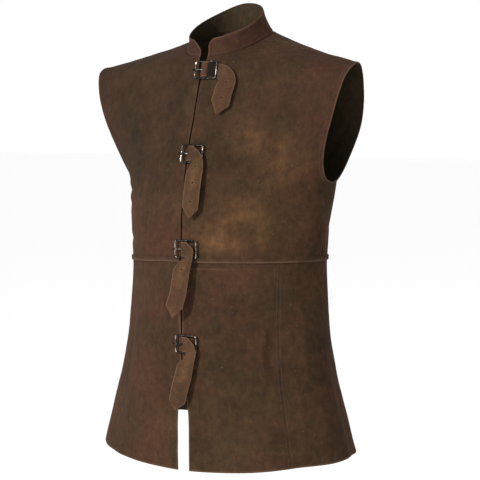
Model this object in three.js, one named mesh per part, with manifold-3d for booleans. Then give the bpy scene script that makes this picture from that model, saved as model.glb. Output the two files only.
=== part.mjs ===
// A sleeveless suede jerkin with a stand collar, a flared skirt and four strap buckles,
// filled out as it is when worn. Millimetres. +X is the wearer's left, -Y the front, +Z up.
// The origin is midway between the two points where the collar meets the shoulder seams.

import * as THREE from 'three';
import { mergeVertices } from 'three/addons/utils/BufferGeometryUtils.js';
import Module from 'manifold-3d';

const wasm = await Module();
wasm.setup();

const DEGREE = Math.PI / 180;
const FULL_TURN = 360;
const LEVEL_TURN = 90;             // turn of a level line at the side
const UNDERARM_TURN = 88;          // turn of the line under the armhole
const SMALL_TURN = 0.5;            // degrees, for the direction along a ring
const ROW_TOLERANCE = 0.001;       // of a row's place in SECTIONS
const PLACES_A_MM = 1000;          // points nearer than this part of a millimetre are one
const MERGE_WITHIN = 1e-4;         // millimetres
const HEIGHT_PASSES = 4;           // passes to settle a skirt point's height and angle

// ---- Driving sizes ----

const WALL = 2;                    // thickness of the suede
const GAP = 0.3;                   // clear space between one piece and the next
const SEAM_INSET = 0.18;           // how far each of two joined pieces draws back from their seam
const EDGE = 1.9;                  // from the centre line to the front edges where they meet
const UNDERARM = -260;             // lowest point of the armholes
const RING_STEP = 70;              // height between two rows of RINGS
const BODICE_ROUNDNESS = 1.85;     // exponent of the bodice's ring curve, 2 for an ellipse
const BODICE_COLUMNS = 12;         // facets from the centre to the side

// The lap: the bodice's lower edge lies over the skirt's top edge.
const LAP = { height: 7, fade: 3, lift: 2.9, skirtTop: -393.8 };

// Level rings round the body, from the underarm down. side: half width. sideY: where the
// widest point lies. front and back: the centre's Y. roundness: exponent of the ring curve.
const RINGS = [
  { side: 218, sideY: 2, front: -139.5, back: 122, roundness: 1.85 },
  { side: 206, sideY: -3, front: -149, back: 121, roundness: 1.85 },
  { side: 201, sideY: -5, front: -150, back: 118, roundness: 1.85 },
  { side: 205, sideY: -7, front: -150, back: 112.5, roundness: 1.88 },
  { side: 212.5, sideY: -9, front: -150, back: 108, roundness: 1.9 },
  { side: 226, sideY: -9, front: -149.5, back: 108, roundness: 1.94 },
  { side: 246.5, sideY: -8, front: -148.7, back: 112, roundness: 1.97 },
  { side: 268, sideY: -8, front: -147.7, back: 116.5, roundness: 2 },
  { side: 288, sideY: -8, front: -147, back: 121, roundness: 2 },
];

// Lines across half the bodice, from the waist in front, over the shoulder, to the waist
// behind. in: the end at the front edge, neckline or centre back. out: the end at the side
// seam or armhole. turn: degrees that the line bends round the body. bend: below 1 the line
// falls early on its way out, above 1 late.
const SECTIONS = [
  ringSection(2, 'front'),
  ringSection(1, 'front'),
  ringSection(0, 'front'),
  { inX: EDGE, inY: -133, inZ: -222, outX: 221, outY: -24, outZ: -250, turn: 73, bend: 1.8 },
  { inX: EDGE, inY: -125, inZ: -190, outX: 227, outY: -41, outZ: -222, turn: 58, bend: 1.5 },
  { inX: EDGE, inY: -115, inZ: -155, outX: 240, outY: -52, outZ: -184, turn: 48, bend: 1.2 },
  { inX: EDGE, inY: -105, inZ: -118, outX: 255, outY: -57, outZ: -146, turn: 40, bend: 1 },
  { inX: 3, inY: -94, inZ: -78, outX: 266, outY: -57, outZ: -112, turn: 36, bend: 0.9 },
  { inX: 9, inY: -84, inZ: -39, outX: 274, outY: -52, outZ: -84, turn: 30, bend: 0.85 },
  { inX: 44, inY: -71, inZ: -33, outX: 280, outY: -43, outZ: -66, turn: 24, bend: 0.85 },
  { inX: 71, inY: -38, inZ: -18, outX: 283, outY: -32, outZ: -57, turn: 16, bend: 0.85 },
  { inX: 80, inY: 3, inZ: 0, outX: 283, outY: -20, outZ: -53, turn: 8, bend: 0.85 },
  { inX: 71, inY: 31, inZ: 9, outX: 281, outY: -7, outZ: -57, turn: 16, bend: 0.85 },
  { inX: 45, inY: 52, inZ: 16, outX: 276, outY: 6, outZ: -67, turn: 24, bend: 0.85 },
  { inX: 0, inY: 59, inZ: 18, outX: 270, outY: 19, outZ: -86, turn: 30, bend: 0.85 },
  { inX: 0, inY: 79, inZ: -25, outX: 262, outY: 33, outZ: -118, turn: 36, bend: 0.9 },
  { inX: 0, inY: 94, inZ: -75, outX: 251, outY: 44, outZ: -155, turn: 42, bend: 1 },
  { inX: 0, inY: 107, inZ: -130, outX: 238, outY: 45, outZ: -192, turn: 50, bend: 1.2 },
  { inX: 0, inY: 116, inZ: -180, outX: 227, outY: 36, outZ: -227, turn: 62, bend: 1.5 },
  { inX: 0, inY: 120, inZ: -222, outX: 220, outY: 22, outZ: -251, turn: 76, bend: 1.8 },
  ringSection(0, 'back'),
  ringSection(1, 'back'),
  ringSection(2, 'back'),
];
const ROW = { underarmFront: 2, neckFront: 8, shoulder: 11, neckBack: 14, underarmBack: 20,
  waistBack: 22 };

// How far the sides are raised or lowered at the waist, how far out that is full, and how far
// below the armholes.
const SAG = { left: 2, right: -9, reach: 200, below: 140 };

// The skirt: where its front edges part, its vertical seam, its hem and its folds.
const SLIT = { start: -560, full: -695, left: 14.6, right: 10.4 };
const SKIRT_SEAM = { waistAngle: 56.5, hemAngle: 48.5 };
// Height of the hem every HEM_STEP degrees, from behind round the wearer's right, the front
// and the left to behind again.
const HEM_STEP = 30;
const HEM = [-722, -716, -719, -748, -766, -770, -773, -763, -749, -741, -740, -733, -722];
const SKIRT_ROWS = 12;
const SKIRT_FRONT_COLUMNS = 10;
const SKIRT_BACK_COLUMNS = 18;

// Folds of the skirt. angle and width: degrees round the ring, the wearer's left positive.
// start and full: the heights where the fold begins and where it has its depth, out positive.
const FOLDS = [
  { angle: 27, width: 10, start: -430, full: -640, depth: 4 },
  { angle: 51, width: 8, start: -420, full: -560, depth: -5 },
  { angle: 72, width: 9, start: -450, full: -650, depth: 4 },
  { angle: 98, width: 9, start: -500, full: -640, depth: -5 },
  { angle: 122, width: 10, start: -470, full: -680, depth: 5 },
  { angle: 146, width: 9, start: -520, full: -660, depth: -4 },
  { angle: 172, width: 11, start: -450, full: -650, depth: 4 },
  { angle: -24, width: 10, start: -450, full: -620, depth: 3 },
  { angle: -50, width: 8, start: -420, full: -600, depth: -4 },
  { angle: -76, width: 10, start: -470, full: -660, depth: 5 },
  { angle: -104, width: 9, start: -510, full: -640, depth: -5 },
  { angle: -130, width: 10, start: -480, full: -700, depth: 4 },
  { angle: -152, width: 9, start: -500, full: -640, depth: -4 },
];

// The collar: its top edge is an ellipse in a plane that rises to the back. lean: how much lower
// it is on the wearer's right. It falls away in a corner at each end. reach: how far back the
// corner starts. drop: how far it falls. bend: 1 for a slanting corner, more for a rounder one.
const COLLAR = { centreY: -16, halfWidth: 68, halfDepth: 66, frontY: -84, frontZ: -8,
  rise: 0.535, frontX: 9, lean: 8, hollow: 0.03, rows: 4 };
const COLLAR_CORNER = {
  left: { reach: 17, drop: 13, bend: 2.6 },
  right: { reach: 26, drop: 18, bend: 1.4 },
};
const COLLAR_CORNER_STEPS = [0.1, 0.3, 0.6];

// Buckles: a frame with two windows and a bar between them, worn sideways. x: the bar's
// place on the wearer's left front. height: the frame's middle over the suede.
const BUCKLE = { x: 13, width: 46, tall: 33, bar: 3, corner: 5, windowCorner: 2.5,
  height: 4.9, bevel: 0.6 };
const BUCKLE_HEIGHTS = [-63, -211, -376.8, -545];
const BUCKLE_ON_SKIRT = 3;
const EYE = { inner: 2.15, outer: 3.7, sides: 9 };
// The folded tab. low, high: heights of its two faces over the suede. heel, neck: from the bar
// to where its lower and upper face begin. from, to: where the eye leaves and joins them.
const CHAPE = { low: 0.55, high: 3.2, reach: 14.2, halfHeight: 9.5, heel: 1.85, neck: 5.55,
  from: -126, to: 45 };
// The cut in the tab's eye that the prong's ring turns in.
const CHAPE_SLOT = { from: -5.25, to: 6.45, half: 2.3, depth: 22 };
const PRONG = { ring: 3.25, halfWidth: 1.5, from: -162, to: 130 };
// The prong's arm, out along its top to the tip and back below. x: from the bar. rise: the
// height over the bar's middle.
const PRONG_ARM = [
  { x: -8, rise: 3.4 },
  { x: -14, rise: 4.2 },
  { x: -20, rise: 3.9 },
  { x: -24.5, rise: 3.3 },
  { x: -25, rise: 2.3 },
  { x: -23.6, rise: 1.85 },
  { x: -20, rise: 1.85 },
  { x: -14, rise: 2.2 },
  { x: -8, rise: 1.3 },
];

// Straps. half: half the width in the buckle. hole: radius. punch: length of the cut.
const STRAP = { half: 13, thick: 1.8, hole: 1.7, holeSides: 12, punch: 9 };

// The strap's middle line from its sewn end inside the wearer's right front, out through the
// slit and over the bar. x: across from the bar. h: height over the suede.
const STRAP_ROOT = [
  { x: -55, h: -3.8 },
  { x: -43, h: -3.8 },
  { x: -31, h: -3.8 },
  { x: -20, h: -3.8 },
  { x: -14.4, h: -3.8 },
  { x: -13.2, h: -2.2 },
  { x: -13, h: 0.4 },
  { x: -11.7, h: 2.2 },
  { x: -8.6, h: 5.2 },
  { x: -4.5, h: 8.4 },
  { x: 0, h: 10.2 },
  { x: 5, h: 10.1 },
];
// The slit in the strap that the prong goes through: its ends from the bar, half its width,
// and the middle and depth of the cut.
const PRONG_SLOT = { from: -9.6, to: -2.6, half: 2.1, height: 6.7, depth: 14.4 };

// The free ends of the straps: the first goes on under the frame's outer side, and the others
// turn down over its lower side. x and z: from the bar's middle. h: height over the suede.
// turn: 90 where the strap runs across, 0 where it hangs. roll: degrees that it is turned
// towards the wearer's left. half: half the width.
const TAILS = [
  [
    { x: 9, z: 0, h: 7.6, turn: 90, roll: 0, half: 12.8 },
    { x: 14.5, z: 0, h: 4.6, turn: 90, roll: 0, half: 12.7 },
    { x: 19.5, z: -0.4, h: 2.1, turn: 88, roll: 0, half: 12.7 },
    { x: 24.5, z: -1.5, h: 2.1, turn: 85, roll: 0, half: 12.8 },
    { x: 30, z: -3, h: 4.2, turn: 76, roll: 4, half: 13 },
    { x: 38, z: -6, h: 7, turn: 62, roll: 8, half: 13.8 },
    { x: 46, z: -12.5, h: 9, turn: 40, roll: 12, half: 15.2 },
    { x: 50, z: -23, h: 10.5, turn: 14, roll: 14, half: 17 },
    { x: 47.5, z: -40, h: 11.5, turn: -10, roll: 14, half: 16.4 },
    { x: 44, z: -60, h: 11.5, turn: -16, roll: 14, half: 17 },
    { x: 38.5, z: -79, h: 10, turn: -16, roll: 8, half: 0.8 },
  ],
  [
    { x: 7, z: -3, h: 10.4, turn: 78, roll: 0, half: 13 },
    { x: 12, z: -9, h: 11.2, turn: 54, roll: 2, half: 13.2 },
    { x: 15, z: -18, h: 12, turn: 28, roll: 5, half: 14 },
    { x: 14.5, z: -31, h: 13, turn: 5, roll: 8, half: 15.2 },
    { x: 14, z: -48, h: 14.5, turn: -2, roll: 10, half: 15.2 },
    { x: 13, z: -70, h: 15, turn: -5, roll: 10, half: 15.2 },
    { x: 11.5, z: -95, h: 14, turn: -7, roll: 10, half: 14.6 },
    { x: 9.5, z: -112, h: 11.5, turn: -7, roll: 6, half: 0.8 },
  ],
  [
    { x: 6, z: -4, h: 10.6, turn: 72, roll: 0, half: 13 },
    { x: 8, z: -10.5, h: 11.6, turn: 48, roll: 4, half: 13.2 },
    { x: 6, z: -20, h: 13, turn: 20, roll: 9, half: 14.2 },
    { x: 0.5, z: -35, h: 15, turn: 2, roll: 13, half: 15.2 },
    { x: -1, z: -54, h: 16, turn: -7, roll: 14, half: 15 },
    { x: -5, z: -78, h: 17, turn: -10, roll: 14, half: 15.2 },
    { x: -11, z: -102, h: 16, turn: -9, roll: 13, half: 15.5 },
    { x: -14.5, z: -121, h: 13, turn: -5, roll: 8, half: 0.8 },
  ],
  [
    { x: 7, z: -3, h: 10.6, turn: 74, roll: 0, half: 13 },
    { x: 11, z: -9.5, h: 11.6, turn: 50, roll: 4, half: 13.2 },
    { x: 11, z: -20, h: 13, turn: 26, roll: 10, half: 14.4 },
    { x: 5.5, z: -34, h: 15, turn: 6, roll: 14, half: 15.6 },
    { x: 1, z: -54, h: 16, turn: -6, roll: 16, half: 15.8 },
    { x: -6.2, z: -80, h: 17, turn: -12, roll: 16, half: 15.8 },
    { x: -12.6, z: -102, h: 16, turn: -14, roll: 15, half: 15 },
    { x: -17, z: -118, h: 13, turn: -12, roll: 8, half: 0.8 },
  ],
];
// Punched holes in each hanging end, by the station of TAILS that each one is nearest to.
const HOLES = [[7, 8.55], [2.4, 4.15, 5.5], [3, 4.5, 5.85], [3.5, 4.75, 5.9]];

// ---- Materials ----

function suede(color) {
  return new THREE.MeshStandardMaterial({ color, roughness: 0.95, metalness: 0 });
}
function nickel() {
  return new THREE.MeshStandardMaterial({ color: 0x6b665e, roughness: 0.38, metalness: 0.9 });
}
const BODY_BROWN = 0x55402c;
const STRAP_BROWN = 0x6a4f38;

// ---- Curves through the tables ----

function ringSection(index, face) {
  const ring = RINGS[index];
  const z = UNDERARM - RING_STEP * index;
  const inX = face === 'front' ? EDGE : 0;
  const turn = index === 0 ? UNDERARM_TURN : LEVEL_TURN;
  return { inX, inY: ring[face], inZ: z, outX: ring.side, outY: ring.sideY, outZ: z, turn,
    bend: 1 };
}

// A smooth curve through values at even steps, with a sharp bend at each row in corners.
function curve(values, corners) {
  const last = values.length - 1;
  return (t) => {
    const i = Math.max(0, Math.min(Math.floor(t), last - 1));
    const u = t - i;
    const chord = values[i + 1] - values[i];
    const slope = (k) => (
      k === 0 || k === last || corners.includes(k) ? chord : (values[k + 1] - values[k - 1]) / 2
    );
    const rest = 1 - u;
    return values[i] * (1 + 2 * u) * rest * rest + slope(i) * u * rest * rest
      + values[i + 1] * (1 + 2 * rest) * u * u - slope(i + 1) * rest * u * u;
  };
}

function curves(table, corners) {
  const found = {};
  for (const name of Object.keys(table[0])) {
    found[name] = curve(table.map((row) => row[name]), corners[name] ?? []);
  }
  return found;
}

const ring = curves(RINGS, {});
const section = curves(SECTIONS, {
  inX: [ROW.neckFront, ROW.neckBack],
  inY: [ROW.neckFront, ROW.neckBack],
  inZ: [ROW.neckFront, ROW.neckBack],
  outX: [ROW.underarmFront, ROW.underarmBack],
  outY: [ROW.underarmFront, ROW.underarmBack],
  outZ: [ROW.underarmFront, ROW.underarmBack],
});

function smooth(t) {
  const u = Math.max(0, Math.min(1, t));
  return u * u * (3 - 2 * u);
}

// ---- The surfaces ----

// A point of the bodice's left half. row: along SECTIONS. across: 0 at its in end, 1 at its out.
function bodicePoint(row, across) {
  const power = 2 / BODICE_ROUNDNESS;
  const turn = section.turn(row) * DEGREE;
  const sine = (angle) => Math.sin(angle) ** power;
  const drop = (angle) => 1 - Math.max(0, Math.cos(angle)) ** power;
  const x = sine(across * turn) / sine(turn);
  const y = drop(across * turn) / drop(turn);
  const z = x ** section.bend(row);
  return new THREE.Vector3(
    section.inX(row) + (section.outX(row) - section.inX(row)) * x,
    section.inY(row) + (section.outY(row) - section.inY(row)) * y,
    section.inZ(row) + (section.outZ(row) - section.inZ(row)) * z,
  );
}

// A point of the level ring at a height. angle: degrees, 0 in front, 90 at the wearer's left.
function ringPoint(z, angle) {
  const t = (UNDERARM - z) / RING_STEP;
  const power = 2 / ring.roundness(t);
  const sine = Math.sin(angle * DEGREE);
  const cosine = Math.cos(angle * DEGREE);
  const reach = cosine > 0 ? ring.front(t) : ring.back(t);
  return new THREE.Vector3(
    Math.sign(sine) * ring.side(t) * Math.abs(sine) ** power,
    ring.sideY(t) + (reach - ring.sideY(t)) * Math.abs(cosine) ** power,
    z,
  );
}

// The level direction out of a ring.
function ringOut(z, angle) {
  const along = ringPoint(z, angle + SMALL_TURN).sub(ringPoint(z, angle - SMALL_TURN));
  return new THREE.Vector3(along.y, -along.x, 0).normalize();
}

function foldDepth(z, angle) {
  let depth = 0;
  for (const fold of FOLDS) {
    const turned = ((angle - fold.angle + 1.5 * FULL_TURN) % FULL_TURN) - FULL_TURN / 2;
    const part = smooth((fold.start - z) / (fold.start - fold.full));
    depth += fold.depth * part * Math.exp(-((turned / fold.width) ** 2));
  }
  return depth;
}

function skirtPoint(z, angle) {
  return ringPoint(z, angle).addScaledVector(ringOut(z, angle), foldDepth(z, angle));
}

const hem = curve(HEM, []);

function hemHeight(angle) {
  return hem((angle + FULL_TURN / 2) / HEM_STEP);
}

// The jerkin hangs a little lower on the wearer's right.
function settled(point) {
  const side = point.x > 0 ? SAG.left : SAG.right;
  const part = smooth(Math.abs(point.x) / SAG.reach) * smooth((UNDERARM - point.z) / SAG.below);
  return new THREE.Vector3(point.x, point.y, point.z + side * part);
}

function edgeAngle(z, side) {
  const open = side > 0 ? SLIT.left : SLIT.right;
  const half = EDGE + (open - EDGE) * smooth((SLIT.start - z) / (SLIT.start - SLIT.full));
  const t = (UNDERARM - z) / RING_STEP;
  return Math.asin((half / ring.side(t)) ** (ring.roundness(t) / 2)) / DEGREE;
}

// ---- Grids: rows of points that face out, with rows x columns turned the same way ----

function mirrored(grid) {
  return grid.map((row) => row.map((p) => new THREE.Vector3(-p.x, p.y, p.z)));
}

function settledGrid(grid) {
  return grid.map((row) => row.map(settled));
}

const LAP_TOP = LAP.height / RING_STEP;
const LAP_FADE = (LAP.height + LAP.fade) / RING_STEP;
const FRONT_ROWS = [0, LAP_TOP, LAP_FADE, 0.6, 1, 1.5, 2, 2.5, 3, 3.5, 4, 5, 6, 7, 8, 8.5, 9, 9.5,
  10, 10.5, 11];
const BACK_ROWS = [11, 11.5, 12, 12.5, 13, 13.5, 14, 15, 16, 17, 18, 18.5, 19, 19.5, 20, 20.5, 21,
  21.4, ROW.waistBack - LAP_FADE, ROW.waistBack - LAP_TOP, ROW.waistBack];

function bodiceGrid(rows) {
  return rows.map((row) => Array.from(
    { length: BODICE_COLUMNS + 1 },
    (_, column) => bodicePoint(row, column / BODICE_COLUMNS),
  ));
}

// Half the skirt, rows from the hem up, columns from the slit round to the centre back.
function skirtGrid(side) {
  const columns = SKIRT_FRONT_COLUMNS + SKIRT_BACK_COLUMNS;
  const grid = [];
  for (let r = 0; r <= SKIRT_ROWS; r += 1) {
    const row = [];
    for (let c = 0; c <= columns; c += 1) {
      row.push(skirtStation(side, r / SKIRT_ROWS, c));
    }
    grid.push(row);
  }
  return grid;
}

function skirtStation(side, up, column) {
  let z = LAP.skirtTop;
  let angle = 0;
  for (let pass = 0; pass < HEIGHT_PASSES; pass += 1) {
    const seam = SKIRT_SEAM.hemAngle + (SKIRT_SEAM.waistAngle - SKIRT_SEAM.hemAngle) * up;
    const edge = edgeAngle(z, side);
    angle = column <= SKIRT_FRONT_COLUMNS
      ? edge + (seam - edge) * column / SKIRT_FRONT_COLUMNS
      : seam + (FULL_TURN / 2 - seam) * (column - SKIRT_FRONT_COLUMNS) / SKIRT_BACK_COLUMNS;
    z = hemHeight(side * angle) + (LAP.skirtTop - hemHeight(side * angle)) * up;
  }
  const point = skirtPoint(z, side * angle);
  const sag = settled(point).z - point.z;
  point.z += sag * up;
  return point;
}

// ---- Walls: a grid's points, thickened inwards ----

function placeKey(p) {
  return [p.x, p.y, p.z].map((value) => Math.round(value * PLACES_A_MM) + 0).join(' ');
}

function gridFaces(grid, flipped) {
  const faces = [];
  for (let r = 0; r + 1 < grid.length; r += 1) {
    for (let c = 0; c + 1 < grid[r].length; c += 1) {
      const [a, b, d, e] = [grid[r][c], grid[r][c + 1], grid[r + 1][c], grid[r + 1][c + 1]];
      faces.push(...(flipped ? [[a, d, b], [b, d, e]] : [[a, b, d], [b, e, d]]));
    }
  }
  return faces;
}

// The way out of each point of several grids that join, by the point's place.
function outwards(grids) {
  const found = new Map();
  for (const { points, flipped } of grids) {
    for (const [a, b, c] of gridFaces(points, flipped)) {
      const turned = b.clone().sub(a).cross(c.clone().sub(a));
      for (const corner of [a, b, c]) {
        const key = placeKey(corner);
        found.set(key, (found.get(key) ?? new THREE.Vector3()).add(turned));
      }
    }
  }
  for (const normal of found.values()) {
    normal.normalize();
  }
  return found;
}

// A closed wall. shift and lift say how far a point moves, by its row and column.
function wallGeometry(grids, normals) {
  const outer = [];
  const inner = [];
  const index = new Map();
  const faces = [];
  for (const { points, flipped, shift, lift } of grids) {
    const numbers = points.map((row, r) => row.map((point, c) => {
      const key = placeKey(point);
      if (!index.has(key)) {
        const normal = normals.get(key);
        const moved = point.clone().add(shift?.(r, c) ?? new THREE.Vector3());
        const raised = lift?.(r, c) ?? 0;
        index.set(key, outer.length);
        outer.push(moved.clone().addScaledVector(normal, raised));
        inner.push(moved.clone().addScaledVector(normal, raised - WALL));
      }
      return index.get(key);
    }));
    faces.push(...gridFaces(numbers, flipped));
  }
  const used = new Set(faces.flatMap(([a, b, c]) => [[a, b], [b, c], [c, a]]).map((e) => e.join()));
  const count = outer.length;
  const triangles = [];
  for (const [a, b, c] of faces) {
    triangles.push(a, b, c, count + a, count + c, count + b);
    for (const [from, to] of [[a, b], [b, c], [c, a]]) {
      if (!used.has([to, from].join())) {
        triangles.push(to, from, count + from, to, count + from, count + to);
      }
    }
  }
  return solidGeometry([...outer, ...inner], triangles);
}

function solidGeometry(points, triangles) {
  const geometry = new THREE.BufferGeometry();
  const flat = points.flatMap((p) => [p.x, p.y, p.z]);
  geometry.setAttribute('position', new THREE.Float32BufferAttribute(flat, 3));
  geometry.setIndex(triangles);
  geometry.computeVertexNormals();
  return geometry;
}

function named(name, geometry, material) {
  const mesh = new THREE.Mesh(geometry, material);
  mesh.name = name;
  return mesh;
}

// ---- Bodice ----

const FRONT = {
  left: settledGrid(bodiceGrid(FRONT_ROWS)),
  right: settledGrid(mirrored(bodiceGrid(FRONT_ROWS))),
};
const BACK = {
  left: settledGrid(bodiceGrid(BACK_ROWS)),
  right: settledGrid(mirrored(bodiceGrid(BACK_ROWS))),
};
const bodiceOut = outwards([
  { points: FRONT.left },
  { points: BACK.left },
  { points: FRONT.right, flipped: true },
  { points: BACK.right, flipped: true },
]);

const SHOULDER_FRONT = FRONT_ROWS.length - 1;
const UNDERARM_FRONT = FRONT_ROWS.indexOf(ROW.underarmFront);
const UNDERARM_BACK = BACK_ROWS.indexOf(ROW.underarmBack);

function towards(from, to) {
  return to.clone().sub(from).setLength(SEAM_INSET);
}

// Half the gap at the shoulder and side seams.
function bodiceShift(grid, shoulderRow, nextRow, isSideSeam) {
  return (r, c) => {
    if (r === shoulderRow) {
      return towards(grid[r][c], grid[nextRow][c]);
    }
    if (c === BODICE_COLUMNS && isSideSeam(r)) {
      return towards(grid[r][c], grid[r][c - 1]);
    }
    return new THREE.Vector3();
  };
}

function lapLift(rows) {
  const toWaist = (row) => Math.min(row, ROW.waistBack - row);
  return (r) => (toWaist(rows[r]) < LAP_TOP + ROW_TOLERANCE ? LAP.lift : 0);
}

function frontPanel(side) {
  const points = FRONT[side];
  const flipped = side === 'right';
  const shift = bodiceShift(points, SHOULDER_FRONT, SHOULDER_FRONT - 1, (r) => r <= UNDERARM_FRONT);
  return wallGeometry([{ points, flipped, shift, lift: lapLift(FRONT_ROWS) }], bodiceOut);
}

function backPanel() {
  const halves = ['left', 'right'].map((side) => {
    const points = BACK[side];
    const shift = bodiceShift(points, 0, 1, (r) => r >= UNDERARM_BACK);
    return { points, flipped: side === 'right', shift, lift: lapLift(BACK_ROWS) };
  });
  return wallGeometry(halves, bodiceOut);
}

// ---- Skirt ----

const SKIRT = { left: skirtGrid(1), right: skirtGrid(-1) };
const skirtOut = outwards([{ points: SKIRT.left }, { points: SKIRT.right, flipped: true }]);

function skirtPart(side, from, to, seam, inside) {
  const points = SKIRT[side].map((row) => row.slice(from, to + 1));
  const flipped = side === 'right';
  const shift = (r, c) => (
    c === seam ? towards(points[r][c], points[r][c + inside]) : new THREE.Vector3()
  );
  return { points, flipped, shift };
}

function skirtFront(side) {
  const last = SKIRT_FRONT_COLUMNS;
  return wallGeometry([skirtPart(side, 0, last, last, -1)], skirtOut);
}

function skirtBack() {
  const last = SKIRT_FRONT_COLUMNS + SKIRT_BACK_COLUMNS;
  const halves = ['left', 'right'].map((side) => skirtPart(side, SKIRT_FRONT_COLUMNS, last, 0, 1));
  return wallGeometry(halves, skirtOut);
}

// ---- Collar ----

// The neckline's points from the left front round the back to the right front, which the
// collar's lower edge follows, with a few more near the ends for the rounded corners.
function necklinePoints() {
  const half = FRONT_ROWS.filter((row) => row >= ROW.neckFront)
    .concat(BACK_ROWS.filter((row) => row > ROW.shoulder && row <= ROW.neckBack))
    .map((row) => bodicePoint(row, 0));
  const near = COLLAR_CORNER_STEPS.map((part) => half[0].clone().lerp(half[1], part));
  const left = [half[0], ...near, ...half.slice(1)];
  const right = left.slice(0, -1).reverse().map((p) => new THREE.Vector3(-p.x, p.y, p.z));
  return [...left, ...right];
}

function collarTop(angle, fromEnd) {
  const x = COLLAR.halfWidth * Math.sin(angle);
  const y = COLLAR.centreY - COLLAR.halfDepth * Math.cos(angle);
  const { reach, drop, bend } = x > 0 ? COLLAR_CORNER.left : COLLAR_CORNER.right;
  const cut = drop * Math.max(0, 1 - fromEnd / reach) ** bend;
  const leaning = COLLAR.lean * smooth(-x / COLLAR.halfWidth);
  const z = COLLAR.frontZ + COLLAR.rise * (y - COLLAR.frontY);
  return new THREE.Vector3(x, y, z - cut - leaning);
}

function collarGrid() {
  const base = necklinePoints();
  const along = [0];
  for (let i = 1; i < base.length; i += 1) {
    along.push(along[i - 1] + base[i].distanceTo(base[i - 1]));
  }
  const total = along[along.length - 1];
  const first = Math.asin(COLLAR.frontX / COLLAR.halfWidth);
  const grid = [];
  for (let j = 0; j <= COLLAR.rows; j += 1) {
    const up = j / COLLAR.rows;
    grid.push(base.map((foot, i) => {
      const angle = first + (2 * Math.PI - 2 * first) * along[i] / total;
      const top = collarTop(angle, Math.min(along[i], total - along[i]));
      const point = foot.clone().lerp(top, up);
      const pulled = 1 - COLLAR.hollow * Math.sin(Math.PI * up);
      point.x *= pulled;
      point.y = COLLAR.centreY + (point.y - COLLAR.centreY) * pulled;
      return point;
    }));
  }
  return grid;
}

function collar() {
  const points = collarGrid();
  const shift = (r, c) => (
    r === 0 ? points[1][c].clone().sub(points[0][c]).setLength(GAP) : new THREE.Vector3()
  );
  const level = outwards([{ points }]);
  for (const normal of level.values()) {
    normal.setZ(0).normalize();
  }
  return wallGeometry([{ points, shift }], level);
}

// ---- Places on the suede ----

// The suede's surface at a distance across and a height: its point, and the directions
// out of it, across it and up it. Its facets are the wall's own.
function skin(points, normals, x, z) {
  const flat = (p) => new THREE.Vector2(p.x, p.z);
  const target = new THREE.Vector2(x, z);
  let best = null;
  for (const face of gridFaces(points)) {
    const [a, b, c] = face.map(flat);
    const whole = b.clone().sub(a).cross(c.clone().sub(a));
    const parts = [
      b.clone().sub(target).cross(c.clone().sub(target)) / whole,
      c.clone().sub(target).cross(a.clone().sub(target)) / whole,
      a.clone().sub(target).cross(b.clone().sub(target)) / whole,
    ];
    const inside = Math.min(...parts);
    if (best === null || inside > best.inside) {
      best = { inside, parts, face };
    }
  }
  const point = new THREE.Vector3();
  const out = new THREE.Vector3();
  best.face.forEach((corner, i) => {
    point.addScaledVector(corner, best.parts[i]);
    out.addScaledVector(normals.get(placeKey(corner)), best.parts[i]);
  });
  const right = new THREE.Vector3(0, 0, 1).cross(out).normalize();
  const up = out.clone().cross(right).normalize();
  return { point, out, right, up };
}

function skinAt(number, x, z) {
  const side = x > 0 ? 'left' : 'right';
  return number === BUCKLE_ON_SKIRT
    ? skin(SKIRT[side].map((row) => row.slice(0, SKIRT_FRONT_COLUMNS + 1)), skirtOut, x, z)
    : skin(FRONT[side], bodiceOut, x, z);
}

// Turns and moves a piece drawn on its side: x across the suede, y up it, z out of it.
function seatOnSkin(mesh, number) {
  const place = skinAt(number, BUCKLE.x, BUCKLE_HEIGHTS[number]);
  const turn = new THREE.Matrix4().makeBasis(place.right, place.up, place.out.normalize());
  mesh.quaternion.setFromRotationMatrix(turn);
  mesh.position.copy(place.point);
  return mesh;
}

// ---- Solids that are cut ----

function toManifold(geometry) {
  const bare = geometry.clone();
  bare.deleteAttribute('normal');
  bare.deleteAttribute('uv');
  const merged = mergeVertices(bare, MERGE_WITHIN);
  return new wasm.Manifold(new wasm.Mesh({
    numProp: 3,
    vertProperties: new Float32Array(merged.attributes.position.array),
    triVerts: new Uint32Array(merged.index.array),
  }));
}

function fromManifold(solid) {
  const { vertProperties, triVerts } = solid.getMesh();
  const geometry = new THREE.BufferGeometry();
  geometry.setAttribute('position', new THREE.BufferAttribute(vertProperties, 3));
  geometry.setIndex(new THREE.BufferAttribute(triVerts, 1));
  geometry.computeVertexNormals();
  return geometry;
}

// A flat outline on the x and z axes, given a width along y.
function slab(shape, halfHeight, segments) {
  const geometry = new THREE.ExtrudeGeometry(shape, {
    depth: 2 * halfHeight, bevelEnabled: false, curveSegments: segments,
  });
  geometry.rotateX(Math.PI / 2);
  geometry.translate(0, halfHeight, 0);
  return geometry;
}

// ---- Buckles ----

function roundedRectangle(path, centreX, width, tall, radius) {
  const [x, y] = [width / 2, tall / 2];
  path.moveTo(centreX - x + radius, -y);
  path.lineTo(centreX + x - radius, -y);
  path.absarc(centreX + x - radius, -y + radius, radius, -Math.PI / 2, 0);
  path.lineTo(centreX + x, y - radius);
  path.absarc(centreX + x - radius, y - radius, radius, 0, Math.PI / 2);
  path.lineTo(centreX - x + radius, y);
  path.absarc(centreX - x + radius, y - radius, radius, Math.PI / 2, Math.PI);
  path.lineTo(centreX - x, -y + radius);
  path.absarc(centreX - x + radius, -y + radius, radius, Math.PI, Math.PI * 1.5);
  return path;
}

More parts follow.
